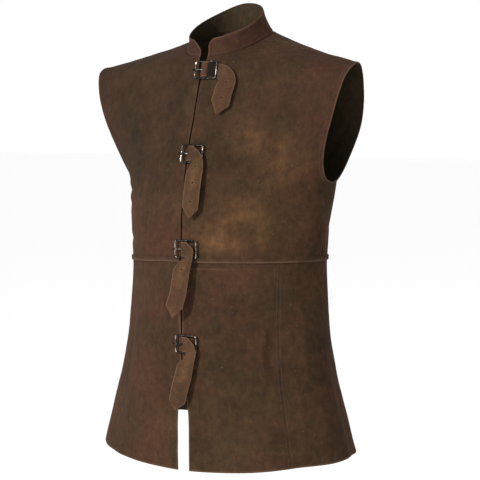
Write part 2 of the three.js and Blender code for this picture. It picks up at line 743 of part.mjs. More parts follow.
function buckleFrame() {
  const { width, tall, bar, corner, windowCorner, bevel, height } = BUCKLE;
  const windowWidth = (width - 3 * bar) / 2;
  const shape = roundedRectangle(new THREE.Shape(), 0, width, tall, corner);
  for (const side of [-1, 1]) {
    const centre = side * (bar + windowWidth) / 2;
    shape.holes.push(
      roundedRectangle(new THREE.Path(), centre, windowWidth, tall - 2 * bar, windowCorner),
    );
  }
  const geometry = new THREE.ExtrudeGeometry(shape, {
    depth: bar - 2 * bevel, bevelThickness: bevel, bevelSize: bevel, bevelOffset: -bevel,
    bevelSegments: 1, curveSegments: 2,
  });
  geometry.translate(0, 0, height - bar / 2 + bevel);
  return geometry;
}

// The folded tab: an eye round the bar, and its two thicknesses lying on the front.
function chape() {
  const { low, high, reach, halfHeight, heel, neck, from, to } = CHAPE;
  const { inner, outer, sides } = EYE;
  const shape = new THREE.Shape();
  shape.moveTo(reach, low);
  shape.lineTo(heel, low);
  shape.absarc(0, BUCKLE.height, outer, from * DEGREE, to * DEGREE, true);
  shape.lineTo(neck, high);
  shape.lineTo(reach, high);
  shape.holes.push(new THREE.Path().absarc(0, BUCKLE.height, inner, 0, 2 * Math.PI));
  const whole = toManifold(slab(shape, halfHeight, sides));
  const slot = CHAPE_SLOT;
  const room = new THREE.BoxGeometry(slot.to - slot.from, 2 * slot.half, slot.depth);
  room.translate((slot.from + slot.to) / 2, 0, 0);
  return fromManifold(whole.subtract(toManifold(room)));
}

// The prong: a ring round the bar, and an arm through the strap that rests on the frame.
function prong() {
  const { ring: outer, halfWidth, from, to } = PRONG;
  const middle = BUCKLE.height;
  const shape = new THREE.Shape();
  shape.absarc(0, middle, outer, from * DEGREE, to * DEGREE);
  for (const { x, rise } of PRONG_ARM) {
    shape.lineTo(x, middle + rise);
  }
  shape.holes.push(new THREE.Path().absarc(0, middle, EYE.inner, 0, 2 * Math.PI));
  return slab(shape, halfWidth, EYE.sides);
}

// ---- Straps ----

// The strap's stations, as a centre, the direction across its width and half its width.
function strapStations(number) {
  const middle = BUCKLE_HEIGHTS[number];
  const flat = { z: 0, turn: LEVEL_TURN, roll: 0, half: STRAP.half };
  const rooted = STRAP_ROOT.map((row) => ({ ...row, ...flat }));
  return [...rooted, ...TAILS[number]].map(({ x, z, h, turn, roll, half }) => {
    const place = skinAt(number, BUCKLE.x + x, middle + z);
    const across = place.right.clone().multiplyScalar(Math.cos(turn * DEGREE))
      .addScaledVector(place.up, Math.sin(turn * DEGREE))
      .multiplyScalar(Math.cos(roll * DEGREE))
      .addScaledVector(place.out, -Math.sin(roll * DEGREE));
    return { centre: place.point.addScaledVector(place.out, h), across, half };
  });
}

function withFacing(stations) {
  return stations.map((station, i) => {
    const before = stations[Math.max(0, i - 1)].centre;
    const after = stations[Math.min(stations.length - 1, i + 1)].centre;
    const facing = after.clone().sub(before).cross(station.across).normalize();
    return { ...station, facing };
  });
}

function ribbon(stations) {
  const points = [];
  for (const { centre, across, half, facing } of stations) {
    for (const [side, face] of [[-1, -1], [1, -1], [1, 1], [-1, 1]]) {
      points.push(centre.clone().addScaledVector(across, side * half)
        .addScaledVector(facing, face * STRAP.thick / 2));
    }
  }
  const triangles = [0, 2, 1, 0, 3, 2];
  const last = points.length - 4;
  for (let start = 0; start < last; start += 4) {
    for (let side = 0; side < 4; side += 1) {
      const [a, b] = [start + side, start + (side + 1) % 4];
      triangles.push(a, b, a + 4, b, b + 4, a + 4);
    }
  }
  triangles.push(last, last + 1, last + 2, last, last + 2, last + 3);
  return solidGeometry(points, triangles);
}

function facingTurn(station) {
  const along = station.facing.clone().cross(station.across).normalize();
  const across = along.clone().cross(station.facing);
  const basis = new THREE.Matrix4().makeBasis(along, station.facing, across);
  return basis.setPosition(station.centre);
}

function between(stations, t) {
  const i = Math.floor(t);
  const [from, to] = [stations[i], stations[Math.min(i + 1, stations.length - 1)]];
  return {
    centre: from.centre.clone().lerp(to.centre, t - i),
    across: from.across.clone().lerp(to.across, t - i).normalize(),
    facing: from.facing.clone().lerp(to.facing, t - i).normalize(),
  };
}

function strap(number) {
  const stations = withFacing(strapStations(number));
  let solid = toManifold(ribbon(stations));
  for (const station of HOLES[number]) {
    const { hole, holeSides, punch: length } = STRAP;
    const punch = new THREE.CylinderGeometry(hole, hole, length, holeSides);
    punch.applyMatrix4(facingTurn(between(stations, STRAP_ROOT.length + station)));
    solid = solid.subtract(toManifold(punch));
  }
  const { from, to, half, height, depth } = PRONG_SLOT;
  const slot = new THREE.BoxGeometry(to - from, 2 * half, depth);
  slot.translate((from + to) / 2, 0, height);
  const seat = seatOnSkin(new THREE.Mesh(slot), number);
  seat.updateMatrix();
  slot.applyMatrix4(seat.matrix);
  return fromManifold(solid.subtract(toManifold(slot)));
}

// ---- The garment ----

const garment = new THREE.Group();
garment.add(named('front_left', frontPanel('left'), suede(BODY_BROWN)));
garment.add(named('front_right', frontPanel('right'), suede(BODY_BROWN)));
garment.add(named('back', backPanel(), suede(BODY_BROWN)));
garment.add(named('skirt_front_left', skirtFront('left'), suede(BODY_BROWN)));
garment.add(named('skirt_front_right', skirtFront('right'), suede(BODY_BROWN)));
garment.add(named('skirt_back', skirtBack(), suede(BODY_BROWN)));
garment.add(named('collar', collar(), suede(BODY_BROWN)));

BUCKLE_HEIGHTS.forEach((_, number) => {
  garment.add(named(`strap_${number + 1}`, strap(number), suede(STRAP_BROWN)));
  garment.add(seatOnSkin(named(`chape_${number + 1}`, chape(), suede(STRAP_BROWN)), number));
  garment.add(seatOnSkin(named(`buckle_${number + 1}`, buckleFrame(), nickel()), number));
  garment.add(seatOnSkin(named(`prong_${number + 1}`, prong(), nickel()), number));
});

export default garment;
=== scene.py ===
"""The looks of a brown suede jerkin with a stand collar, a flared skirt and four strap buckles.

Tables and shapes are in millimetres, as in the part's source, and meshes are made in metres.
+X is the wearer's left, -Y the front and +Z up. Every piece stands for one CAD node and keeps
its form, with the fine form of sewn suede laid over it.
"""

import math

import bpy
import numpy as np
from mathutils import Matrix, Vector
from mathutils.geometry import delaunay_2d_cdt
from mathutils.kdtree import KDTree


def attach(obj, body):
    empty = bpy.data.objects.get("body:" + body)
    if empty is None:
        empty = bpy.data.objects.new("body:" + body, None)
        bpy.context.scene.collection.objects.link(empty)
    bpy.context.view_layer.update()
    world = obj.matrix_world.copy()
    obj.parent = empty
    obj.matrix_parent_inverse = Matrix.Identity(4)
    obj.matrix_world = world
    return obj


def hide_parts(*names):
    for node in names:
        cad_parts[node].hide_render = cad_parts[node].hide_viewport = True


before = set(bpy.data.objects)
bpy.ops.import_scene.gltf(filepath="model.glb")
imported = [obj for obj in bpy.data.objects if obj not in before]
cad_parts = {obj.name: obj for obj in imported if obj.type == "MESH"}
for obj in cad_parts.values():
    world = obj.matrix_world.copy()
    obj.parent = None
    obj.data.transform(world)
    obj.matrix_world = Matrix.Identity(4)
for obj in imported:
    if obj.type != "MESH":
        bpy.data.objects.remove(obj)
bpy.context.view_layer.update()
MM = 0.001
BODY = "root"

# ---- Driving sizes, as in the part's source ----

WALL = 2.0
EDGE = 1.9
UNDERARM = -260
RING_STEP = 70
BODICE_ROUNDNESS = 1.85
LAP = {"top": -393, "fade": 3, "lift": 2.9, "skirt_top": -393.8, "bottom": -400}
# Half the gap between sewn pieces.
SEAM_GAP = 0.04
# A distance at which no edge matters.
FAR = 1e3

# Level rings from the underarm down: half width, Y of the widest point, Y in front and behind.
RINGS = {
    "side": [218, 206, 201, 205, 212.5, 226, 246.5, 268, 288],
    "side_y": [2, -3, -5, -7, -9, -9, -8, -8, -8],
    "front": [-139.5, -149, -150, -150, -150, -149.5, -148.7, -147.7, -147],
    "back": [122, 121, 118, 112.5, 108, 108, 112, 116.5, 121],
    "roundness": [1.85, 1.85, 1.85, 1.88, 1.9, 1.94, 1.97, 2, 2],
}

# Lines across half the bodice above the rings, from the chest over the shoulder to the back:
# the inner end, the outer end, the turn round the body in degrees, and the bend.
SECTION_NAMES = ["in_x", "in_y", "in_z", "out_x", "out_y", "out_z", "turn", "bend"]
UPPER_SECTIONS = [
    [EDGE, -133, -222, 221, -24, -250, 73, 1.8],
    [EDGE, -125, -190, 227, -41, -222, 58, 1.5],
    [EDGE, -115, -155, 240, -52, -184, 48, 1.2],
    [EDGE, -105, -118, 255, -57, -146, 40, 1],
    [3, -94, -78, 266, -57, -112, 36, 0.9],
    [9, -84, -39, 274, -52, -84, 30, 0.85],
    [44, -71, -33, 280, -43, -66, 24, 0.85],
    [71, -38, -18, 283, -32, -57, 16, 0.85],
    [80, 3, 0, 283, -20, -53, 8, 0.85],
    [71, 31, 9, 281, -7, -57, 16, 0.85],
    [45, 52, 16, 276, 6, -67, 24, 0.85],
    [0, 59, 18, 270, 19, -86, 30, 0.85],
    [0, 79, -25, 262, 33, -118, 36, 0.9],
    [0, 94, -75, 251, 44, -155, 42, 1],
    [0, 107, -130, 238, 45, -192, 50, 1.2],
    [0, 116, -180, 227, 36, -227, 62, 1.5],
    [0, 120, -222, 220, 22, -251, 76, 1.8],
]
ROW = {"underarm_front": 2, "neck_front": 8, "shoulder": 11, "neck_back": 14,
       "underarm_back": 20, "waist_back": 22}

SAG = {"left": 2, "right": -9, "reach": 200, "below": 140}
SLIT = {"start": -560, "full": -695, "left": 14.6, "right": 10.4}
SKIRT_SEAM = {"waist": 56.5, "hem": 48.5}
HEM_STEP = 30
HEM = [-722, -716, -719, -748, -766, -770, -773, -763, -749, -741, -740, -733, -722]

# Folds of the skirt: angle, width, height where each begins, height where it is full, depth.
FOLDS = [
    (27, 10, -430, -640, 4), (51, 8, -420, -560, -5), (72, 9, -450, -650, 4),
    (98, 9, -500, -640, -5), (122, 10, -470, -680, 5), (146, 9, -520, -660, -4),
    (172, 11, -450, -650, 4), (-24, 10, -450, -620, 3), (-50, 8, -420, -600, -4),
    (-76, 10, -470, -660, 5), (-104, 9, -510, -640, -5), (-130, 10, -480, -700, 4),
    (-152, 9, -500, -640, -4),
]

COLLAR = {"centre_y": -16, "half_width": 68, "half_depth": 66, "front_y": -84, "front_z": -8,
          "rise": 0.535, "front_x": 9, "lean": 8, "hollow": 0.03}
COLLAR_CORNER = {"left": {"reach": 17, "drop": 13, "bend": 2.6},
                 "right": {"reach": 26, "drop": 18, "bend": 1.4}}

BUCKLE = {"x": 13, "width": 46, "tall": 33, "bar": 3, "corner": 5, "window_corner": 2.5,
          "height": 4.9}
BUCKLE_HEIGHTS = [-63, -211, -376.8, -545]
BUCKLE_ON_SKIRT = 3

STRAP = {"half": 13, "thick": 1.8, "hole": 1.7, "slot_half": 2.1, "cup": 1.1, "cell": 1.6}
# The strap's middle line from its sewn end to the bar: across from the bar, over the suede.
STRAP_ROOT = [(-55, -3.8), (-43, -3.8), (-31, -3.8), (-20, -3.8), (-14.4, -3.8), (-13.2, -2.2),
              (-13, 0.4), (-11.7, 2.2), (-8.6, 5.2), (-4.5, 8.4), (0, 10.2), (5, 10.1)]
PRONG_SLOT = (-9.6, -2.6)
# Free ends: across and up from the bar's middle, over the suede, turn, roll and half the width.
TAILS = [
    [(9, 0, 7.6, 90, 0, 12.8), (14.5, 0, 4.6, 90, 0, 12.7), (19.5, -0.4, 2.1, 88, 0, 12.7),
     (24.5, -1.5, 2.1, 85, 0, 12.8), (30, -3, 4.2, 76, 4, 13), (38, -6, 7, 62, 8, 13.8),
     (46, -12.5, 9, 40, 12, 15.2), (50, -23, 10.5, 14, 14, 17),
     (47.5, -40, 11.5, -10, 14, 16.4), (44, -60, 11.5, -16, 14, 17),
     (38.5, -79, 10, -16, 8, 0.8)],
    [(7, -3, 10.4, 78, 0, 13), (12, -9, 11.2, 54, 2, 13.2), (15, -18, 12, 28, 5, 14),
     (14.5, -31, 13, 5, 8, 15.2), (14, -48, 14.5, -2, 10, 15.2), (13, -70, 15, -5, 10, 15.2),
     (11.5, -95, 14, -7, 10, 14.6), (9.5, -112, 11.5, -7, 6, 0.8)],
    [(6, -4, 10.6, 72, 0, 13), (8, -10.5, 11.6, 48, 4, 13.2), (6, -20, 13, 20, 9, 14.2),
     (0.5, -35, 15, 2, 13, 15.2), (-1, -54, 16, -7, 14, 15), (-5, -78, 17, -10, 14, 15.2),
     (-11, -102, 16, -9, 13, 15.5), (-14.5, -121, 13, -5, 8, 0.8)],
    [(7, -3, 10.6, 74, 0, 13), (11, -9.5, 11.6, 50, 4, 13.2), (11, -20, 13, 26, 10, 14.4),
     (5.5, -34, 15, 6, 14, 15.6), (1, -54, 16, -6, 16, 15.8), (-6.2, -80, 17, -12, 16, 15.8),
     (-12.6, -102, 16, -14, 15, 15), (-17, -118, 13, -12, 8, 0.8)],
]
# Punched holes in each hanging end, by the row of TAILS that each is nearest to.
HOLES = [(7, 8.55), (2.4, 4.15, 5.5), (3, 4.5, 5.85), (3.5, 4.75, 5.9)]

# ---- Curves and noise ----


def smooth(t):
    u = np.clip(t, 0, 1)
    return u * u * (3 - 2 * u)


def bell(distance, width):
    """A soft bump: 1 at no distance, falling away within about twice the width."""
    return np.exp(-((distance / width) ** 2))


def curve(values, corners=()):
    """A smooth curve through values at even steps, with a sharp bend at each row in corners."""
    values = np.asarray(values, float)
    last = len(values) - 1
    slopes_in = np.empty(last)
    slopes_out = np.empty(last)
    for i in range(last):
        chord = values[i + 1] - values[i]
        ends = (i == 0 or i in corners, i + 1 == last or i + 1 in corners)
        slopes_in[i] = chord if ends[0] else (values[i + 1] - values[i - 1]) / 2
        slopes_out[i] = chord if ends[1] else (values[i + 2] - values[i]) / 2

    def at(t):
        t = np.asarray(t, float)
        i = np.clip(np.floor(t).astype(int), 0, last - 1)
        u = t - i
        rest = 1 - u
        return (values[i] * (1 + 2 * u) * rest * rest + slopes_in[i] * u * rest * rest
                + values[i + 1] * (1 + 2 * rest) * u * u - slopes_out[i] * rest * u * u)

    return at


def hashed(cells, seed):
    """A fixed pseudo-random number from -1 to 1 for each whole-number cell."""
    mixed = (cells[..., 0] * 73856093) ^ (cells[..., 1] * 19349663) ^ (cells[..., 2] * 83492791)
    mixed = (mixed ^ (seed * 2654435761)) & 0x7FFFFFFF
    mixed = (mixed * 1103515245 + 12345) & 0x7FFFFFFF
    mixed = ((mixed >> 7) * 1103515245 + 12345) & 0x7FFFFFFF
    return (mixed >> 8) % 65536 / 32767.5 - 1


def noise(points, size, seed):
    """Smooth noise from -1 to 1 with features of about that size."""
    scaled = np.asarray(points, float) / size
    low = np.floor(scaled).astype(np.int64)
    part = smooth(scaled - low)
    total = 0
    for corner in np.ndindex(2, 2, 2):
        share = np.prod(np.where(np.array(corner) == 1, part, 1 - part), axis=-1)
        total = total + share * hashed(low + np.array(corner), seed)
    return total


# ---- The surfaces of the part ----

ring = {name: curve(values) for name, values in RINGS.items()}


def section_table():
    def level(index, face):
        in_x = EDGE if face == "front" else 0
        z = UNDERARM - RING_STEP * index
        turn = 88 if index == 0 else 90
        side, side_y = RINGS["side"][index], RINGS["side_y"][index]
        return [in_x, RINGS[face][index], z, side, side_y, z, turn, 1]

    rows = [level(i, "front") for i in (2, 1, 0)]
    rows += UPPER_SECTIONS
    rows += [level(i, "back") for i in (0, 1, 2)]
    return np.array(rows, float)


def section_curves():
    corners = {"in": (ROW["neck_front"], ROW["neck_back"]),
               "out": (ROW["underarm_front"], ROW["underarm_back"])}
    return {name: curve(values, corners.get(name.split("_")[0], ()))
            for name, values in zip(SECTION_NAMES, section_table().T)}


section = section_curves()


def bodice_point(row, across):
    """A point of the bodice's left half, by its row of sections and its place from 0 to 1."""
    power = 2 / BODICE_ROUNDNESS
    turn = np.radians(section["turn"](row))
    sine = np.sin(across * turn) ** power / np.sin(turn) ** power
    drop = ((1 - np.clip(np.cos(across * turn), 0, 1) ** power)
            / (1 - np.clip(np.cos(turn), 0, 1) ** power))
    shares = (sine, drop, sine ** section["bend"](row))
    place = []
    for axis, share in zip("xyz", shares):
        start, end = section["in_" + axis](row), section["out_" + axis](row)
        place.append(start + (end - start) * share)
    return np.stack(place, -1)


def ring_point(z, angle):
    """A point of the level ring at a height. angle: degrees, 0 in front, 90 at the left."""
    t = (UNDERARM - z) / RING_STEP
    power = 2 / ring["roundness"](t)
    sine, cosine = np.sin(np.radians(angle)), np.cos(np.radians(angle))
    reach = np.where(cosine > 0, ring["front"](t), ring["back"](t))
    side_y = ring["side_y"](t)
    x = np.sign(sine) * ring["side"](t) * np.abs(sine) ** power
    y = side_y + (reach - side_y) * np.abs(cosine) ** power
    return np.stack([x, y, z + 0 * x], -1)


def ring_out(z, angle):
    along = ring_point(z, angle + 0.5) - ring_point(z, angle - 0.5)
    out = np.stack([along[..., 1], -along[..., 0], 0 * along[..., 0]], -1)
    return out / np.linalg.norm(out, axis=-1, keepdims=True)


def fold_depth(z, angle):
    depth = 0
    for middle, width, start, full, height in FOLDS:
        turned = (angle - middle + 540) % 360 - 180
        depth = depth + height * smooth((start - z) / (start - full)) * bell(turned, width)
    return depth


hem_curve = curve(HEM)


def hem_height(angle):
    return hem_curve((angle + 180) / HEM_STEP)


def sag(points):
    """How far the garment's hang raises or lowers each point."""
    x, z = points[..., 0], points[..., 2]
    side = np.where(x > 0, SAG["left"], SAG["right"])
    return side * smooth(np.abs(x) / SAG["reach"]) * smooth((UNDERARM - z) / SAG["below"])


def edge_angle(z, side):
    opened = SLIT["left"] if side > 0 else SLIT["right"]
    half = EDGE + (opened - EDGE) * smooth((SLIT["start"] - z) / (SLIT["start"] - SLIT["full"]))
    t = (UNDERARM - z) / RING_STEP
    return np.degrees(np.arcsin((half / ring["side"](t)) ** (ring["roundness"](t) / 2)))


def skirt_point(side, up, across):
    """A point of half the skirt. up: 0 hem to 1 waist. across: 0 slit, 1 seam, 2 centre back."""
    z = LAP["skirt_top"] + 0 * (up + across)
    for _ in range(6):
        seam = SKIRT_SEAM["hem"] + (SKIRT_SEAM["waist"] - SKIRT_SEAM["hem"]) * up
        edge = edge_angle(z, side)
        angle = np.where(across <= 1, edge + (seam - edge) * across,
                         seam + (180 - seam) * (across - 1))
        bottom = hem_height(side * angle)
        z = bottom + (LAP["skirt_top"] - bottom) * up
    place = ring_point(z, side * angle)
    place = place + ring_out(z, side * angle) * fold_depth(z, side * angle)[..., None]
    place[..., 2] += sag(place) * up
    return place


# ---- Fine form: creases, seams and puckers ----

# The upright middle line that angles round the body are taken from.
AXIS_Y = -10

# Soft creases: from angle and height to angle and height, half width, and depth in (negative)
# or out. They lie where the suede gives at the waist, under the arms and across the back.
CREASES = [
    # wearer's right flank and front
    (-98, -268, -66, -286, 9, -2.6), (-104, -322, -70, -310, 10, -2.8),
    (-92, -362, -60, -372, 9, -2.0), (-58, -232, -30, -292, 14, -1.6),
    (-50, -95, -30, -175, 16, -1.6), (-36, -320, -12, -352, 12, -1.2),
    (-62, -130, -46, -215, 12, 1.6),
    # wearer's left flank and front
    (96, -272, 64, -292, 9, -2.2), (102, -330, 68, -316, 10, -2.4),
    (56, -226, 24, -296, 15, -1.7), (50, -90, 28, -168, 16, -1.5),
    (66, -368, 40, -352, 10, -1.4), (34, -188, 16, -250, 13, 1.0),
    # back
    (150, -100, 165, -240, 16, -2.2), (-150, -100, -165, -240, 16, -2.2),
    (132, -290, 168, -330, 11, -2.4), (-128, -296, -166, -322, 11, -2.6),
    (140, -362, 176, -350, 10, -1.8), (-144, -368, -172, -356, 10, -1.8),
    (112, -150, 126, -235, 12, -2.0), (-112, -150, -126, -235, 12, -2.0),
    # skirt
    (38, -560, 44, -700, 13, -2.2), (62, -520, 60, -600, 9, -2.0),
    (58, -505, 55, -580, 7, 1.4), (-30, -470, -26, -560, 14, -1.4),
    (-60, -520, -64, -690, 12, -1.8), (-38, -610, -40, -740, 12, 1.4),
    (110, -430, 112, -560, 11, -1.8), (158, -440, 160, -600, 13, -1.8),
    (-118, -440, -116, -560, 11, -1.6), (-164, -450, -168, -610, 13, -1.6),
    (14, -640, 20, -745, 12, 1.2),
]


def polar(points):
    """Degrees round the body and the distance from its upright middle."""
    x, y = points[..., 0], points[..., 1] - AXIS_Y
    return np.degrees(np.arctan2(x, -y)), np.hypot(x, y)


def crease_depth(points):
    angle, radius = polar(points)
    z = points[..., 2]
    depth = 0
    for angle_0, z_0, angle_1, z_1, width, height in CREASES:
        turned = (angle - angle_0 + 540) % 360 - 180
        across = turned * np.radians(1) * radius
        run = (angle_1 - angle_0) * np.radians(1) * radius
        rise = z_1 - z_0
        span = np.hypot(run, rise)
        t = (across * run + (z - z_0) * rise) / span ** 2
        off = (across * rise - (z - z_0) * run) / span
        off = off + 0.18 * span * (t - 0.5) ** 2
        fade = smooth((t + 0.25) / 0.5) * smooth((1.25 - t) / 0.5)
        near = (off / width) ** 2
        depth = depth + height * fade * (1 - 0.55 * near) * np.exp(-near)
    return depth


def drape(points):
    """Every cloth piece's fine form, from its place alone, so that joined pieces stay joined."""
    upper = smooth((points[..., 2] + 60) / 60)
    calm = 1 - 0.6 * upper
    waves = 1.15 * noise(points * [1, 1, 0.7], 85, 3) + 0.5 * noise(points, 34, 5)
    grain = 0.16 * noise(points, 12, 7) + 0.07 * noise(points, 5, 9)
    return calm * (crease_depth(points) + waves) + grain


def unit(vectors):
    return vectors / np.maximum(np.linalg.norm(vectors, axis=-1, keepdims=True), 1e-9)


def grid_normals(points, outward):
    """Normals of a grid, on the side that the directions in outward lie."""
    along = np.gradient(points, axis=1)
    up = np.gradient(points, axis=0)
    normal = unit(np.cross(along, up))
    facing = np.sign(np.sum(normal * outward, axis=-1, keepdims=True))
    return normal * np.where(np.mean(facing) >= 0, 1, -1)


def run_along(points, axis):
    """Distance along a grid's rows (axis 1) or columns (axis 0) from the first one."""
    steps = np.linalg.norm(np.diff(points, axis=axis), axis=-1)
    start = np.zeros_like(np.take(steps, [0], axis=axis))
    return np.concatenate([start, np.cumsum(steps, axis=axis)], axis=axis)


def on_line(line, run, at):
    """A line's points at distances along it."""
    return np.stack([np.interp(at, run, column) for column in line.T], -1)


def edge_runs(points):
    """Distances of a grid's points from its four edges."""
    across, up = run_along(points, 1), run_along(points, 0)
    return {"first_column": across, "last_column": across[:, -1:] - across,
            "first_row": up, "last_row": up[-1:] - up}


# A sewn edge: how deep and wide it dips, the swell beside the dip, and the puckers.
DIP = {"deep": 0.8, "faint": 0.15, "width": 2.6}
SWELL = {"share": 0.44, "at": 6, "width": 3}
PUCKER = {"high": 0.45, "size": 11, "width": 9}


def sewn(distance, points, seed, deep=DIP["deep"]):
    """The dip of a sewn edge, with small uneven puckers beside it."""
    beside = SWELL["share"] * bell(distance - SWELL["at"], SWELL["width"])
    pucker = PUCKER["high"] * noise(points, PUCKER["size"], seed)
    return (deep * (beside - bell(distance, DIP["width"]))
            + pucker * bell(distance, PUCKER["width"]))


# ---- Meshes ----


def new_object(name, data):
    made = bpy.data.objects.new(name, data)
    bpy.context.scene.collection.objects.link(made)
    return made


def build_mesh(name, points, faces, materials, indices, attributes):
    """A mesh with its points in millimetres and float attributes on its points."""
    mesh = bpy.data.meshes.new(name)
    mesh.from_pydata((np.asarray(points) * MM).tolist(), [], faces)
    for material in materials:
        mesh.materials.append(material)
    mesh.polygons.foreach_set("material_index", np.asarray(indices, np.int32))
    mesh.polygons.foreach_set("use_smooth", np.ones(len(faces), bool))
    for label, values in attributes.items():
        layer = mesh.attributes.new(label, "FLOAT", "POINT")
        layer.data.foreach_set("value", np.asarray(values, np.float32))
    mesh.update()
    return new_object(name, mesh)


def signed_volume(points, triangles):
    a, b, c = (points[triangles[:, i]] for i in range(3))
    return np.sum(a * np.cross(b, c)) / 6


def grid_quads(rows, columns):
    """A grid's faces as point numbers."""
    numbers = np.arange(rows * columns).reshape(rows, columns)
    quads = np.stack([numbers[:-1, :-1], numbers[:-1, 1:], numbers[1:, 1:], numbers[1:, :-1]], -1)
    return quads.reshape(-1, 4)


def border_edges(faces):
    """The edges that only one face has, in the order of that face."""
    sides = faces.shape[1]
    pairs = np.concatenate([faces[:, [i, (i + 1) % sides]] for i in range(sides)])
    size = int(faces.max()) + 1
    return pairs[~np.isin(pairs[:, 0] * size + pairs[:, 1], pairs[:, 1] * size + pairs[:, 0])]


def closed_mesh(name, outer, inner, faces, border, rim_points, materials, marks):
    """Two sides joined round their border by a cut edge, with one row of points in its middle.

    faces: those of the outer side. materials: for the outer side, the cut edge and, where it
    has its own, the inner side. marks: attributes of the outer points, for all that lie there.
    """
    count, rim = len(outer), np.unique(border)
    points = np.concatenate([outer, inner, rim_points])
    rim_number = np.zeros(count, int)
    rim_number[rim] = 2 * count + np.arange(len(rim))
    first, second = border.T
    upper = np.stack([second, first, rim_number[first], rim_number[second]], -1)
    lower = np.stack([rim_number[second], rim_number[first], first + count, second + count], -1)
    inner_slot = 2 if len(materials) > 2 else 0
    indices = np.repeat([0, inner_slot, 1], [len(faces), len(faces), 2 * len(border)])
    groups = [faces, faces[:, ::-1] + count, upper, lower]
    volume = sum(signed_volume(points, group[:, [0, i, i + 1]])
                 for group in groups for i in range(1, group.shape[1] - 1))
    if volume < 0:
        groups = [group[:, ::-1] for group in groups]
    attributes = {label: np.concatenate([values, values, values[rim]])
                  for label, values in marks.items()}
    return build_mesh(name, points, [face for group in groups for face in group.tolist()],
                      materials, indices, attributes)


ROUNDING = 0.3


def wall(name, outer, normals, marks, quads):
    """A closed wall of suede from its outer points, with a slightly rounded cut edge all round."""
    used, quads = np.unique(quads, return_inverse=True)
    quads = quads.reshape(-1, 4)
    flat, facing = outer.reshape(-1, 3)[used], normals.reshape(-1, 3)[used]
    border = border_edges(quads)
    rim = np.unique(border)
    middles, shared = np.zeros((len(flat), 3)), np.zeros((len(flat), 1))
    np.add.at(middles, quads.ravel(), np.repeat(flat[quads].mean(axis=1), 4, axis=0))
    np.add.at(shared, quads.ravel(), 1)
    away = unit(flat[rim] - middles[rim] / shared[rim])
    inside = flat - facing * WALL
    middle = (flat[rim] + inside[rim]) / 2 + away * ROUNDING
    flat[rim] -= facing[rim] * ROUNDING
    inside[rim] += facing[rim] * ROUNDING
    marks = {label: np.reshape(values, -1)[used] for label, values in marks.items()}
    return closed_mesh(name, flat, inside, quads, border, middle, BODY_MATERIALS, marks)


# ---- Materials ----


class Nodes:
    """A material's node tree, with short calls to add and join nodes."""

    def __init__(self, name):
        self.material = bpy.data.materials.new(name)
        self.material.use_nodes = True
        self.tree = self.material.node_tree
        self.shader = self.tree.nodes["Principled BSDF"]
        self.place = self.add("ShaderNodeTexCoord").outputs["Object"]

    def add(self, kind, **values):
        node = self.tree.nodes.new(kind)
        for key, value in values.items():
            setattr(node, key, value)
        return node

    def feed(self, target, value):
        """Joins a socket to an input, or sets the input to a number or a colour."""
        if isinstance(value, bpy.types.NodeSocket):
            self.tree.links.new(value, target)
        else:
            target.default_value = (*value, 1) if isinstance(value, tuple) else value

    def put(self, name, value):
        self.feed(self.shader.inputs[name], value)

    def noise(self, scale, detail, rough, stretch=None):
        node = self.add("ShaderNodeTexNoise")
        place = self.place
        if stretch:
            mapping = self.add("ShaderNodeMapping")
            mapping.inputs["Scale"].default_value = stretch
            self.feed(mapping.inputs["Vector"], place)
            place = mapping.outputs["Vector"]
        for name, value in (("Vector", place), ("Scale", scale), ("Detail", detail),
                            ("Roughness", rough)):
            self.feed(node.inputs[name], value)
        return node.outputs["Fac"]

    def ramp(self, value, stops):
        node = self.add("ShaderNodeValToRGB")
        self.feed(node.inputs["Fac"], value)
        elements = node.color_ramp.elements
        while len(elements) < len(stops):
            elements.new(0.5)
        for element, (at, color) in zip(elements, stops):
            element.position = at
            element.color = (*color, 1)
        return node.outputs["Color"]

    def mix(self, share, first, second, blend="MIX"):
        node = self.add("ShaderNodeMix", data_type="RGBA", blend_type=blend)
        for socket, value in ((0, share), (6, first), (7, second)):
            self.feed(node.inputs[socket], value)
        return node.outputs[2]

    def math(self, operation, first, second):
        node = self.add("ShaderNodeMath", operation=operation)
        for socket, value in enumerate((first, second)):
            self.feed(node.inputs[socket], value)
        return node.outputs[0]

    def mark(self, name):
        return self.add("ShaderNodeAttribute", attribute_name=name).outputs["Fac"]

    def bump(self, height, distance, strength, before=None):
        node = self.add("ShaderNodeBump")
        for name, value in (("Distance", distance), ("Strength", strength), ("Height", height)):
            self.feed(node.inputs[name], value)
        if before:
            self.feed(node.inputs["Normal"], before)
        return node.outputs["Normal"]


def grey(value):
    return (value, value, value)


def srgb(red, green, blue):
    """A colour given as the eye sees it, from 0 to 255, in the renderer's linear values."""
    found = []
    for value in (red, green, blue):
        part = value / 255
        found.append(part / 12.92 if part <= 0.04045 else ((part + 0.055) / 1.055) ** 2.4)
    return tuple(found)


# Painted shade: this dark colour is mixed into the suede by a mark on the points.
PAINTED_SHADE = srgb(20, 18, 16)
# Casts that the hide's colour leans to in places: olive, reddish and ochre.
OUTER_CASTS = (srgb(45, 36, 23), srgb(61, 38, 29), srgb(86, 61, 39))
# The inner casts are dull and dark: partly the flesh side's own colour, partly painted shade for
# the garment's shaded inside.
INNER_CASTS = (srgb(45, 39, 28), srgb(49, 39, 28), srgb(54, 45, 32))


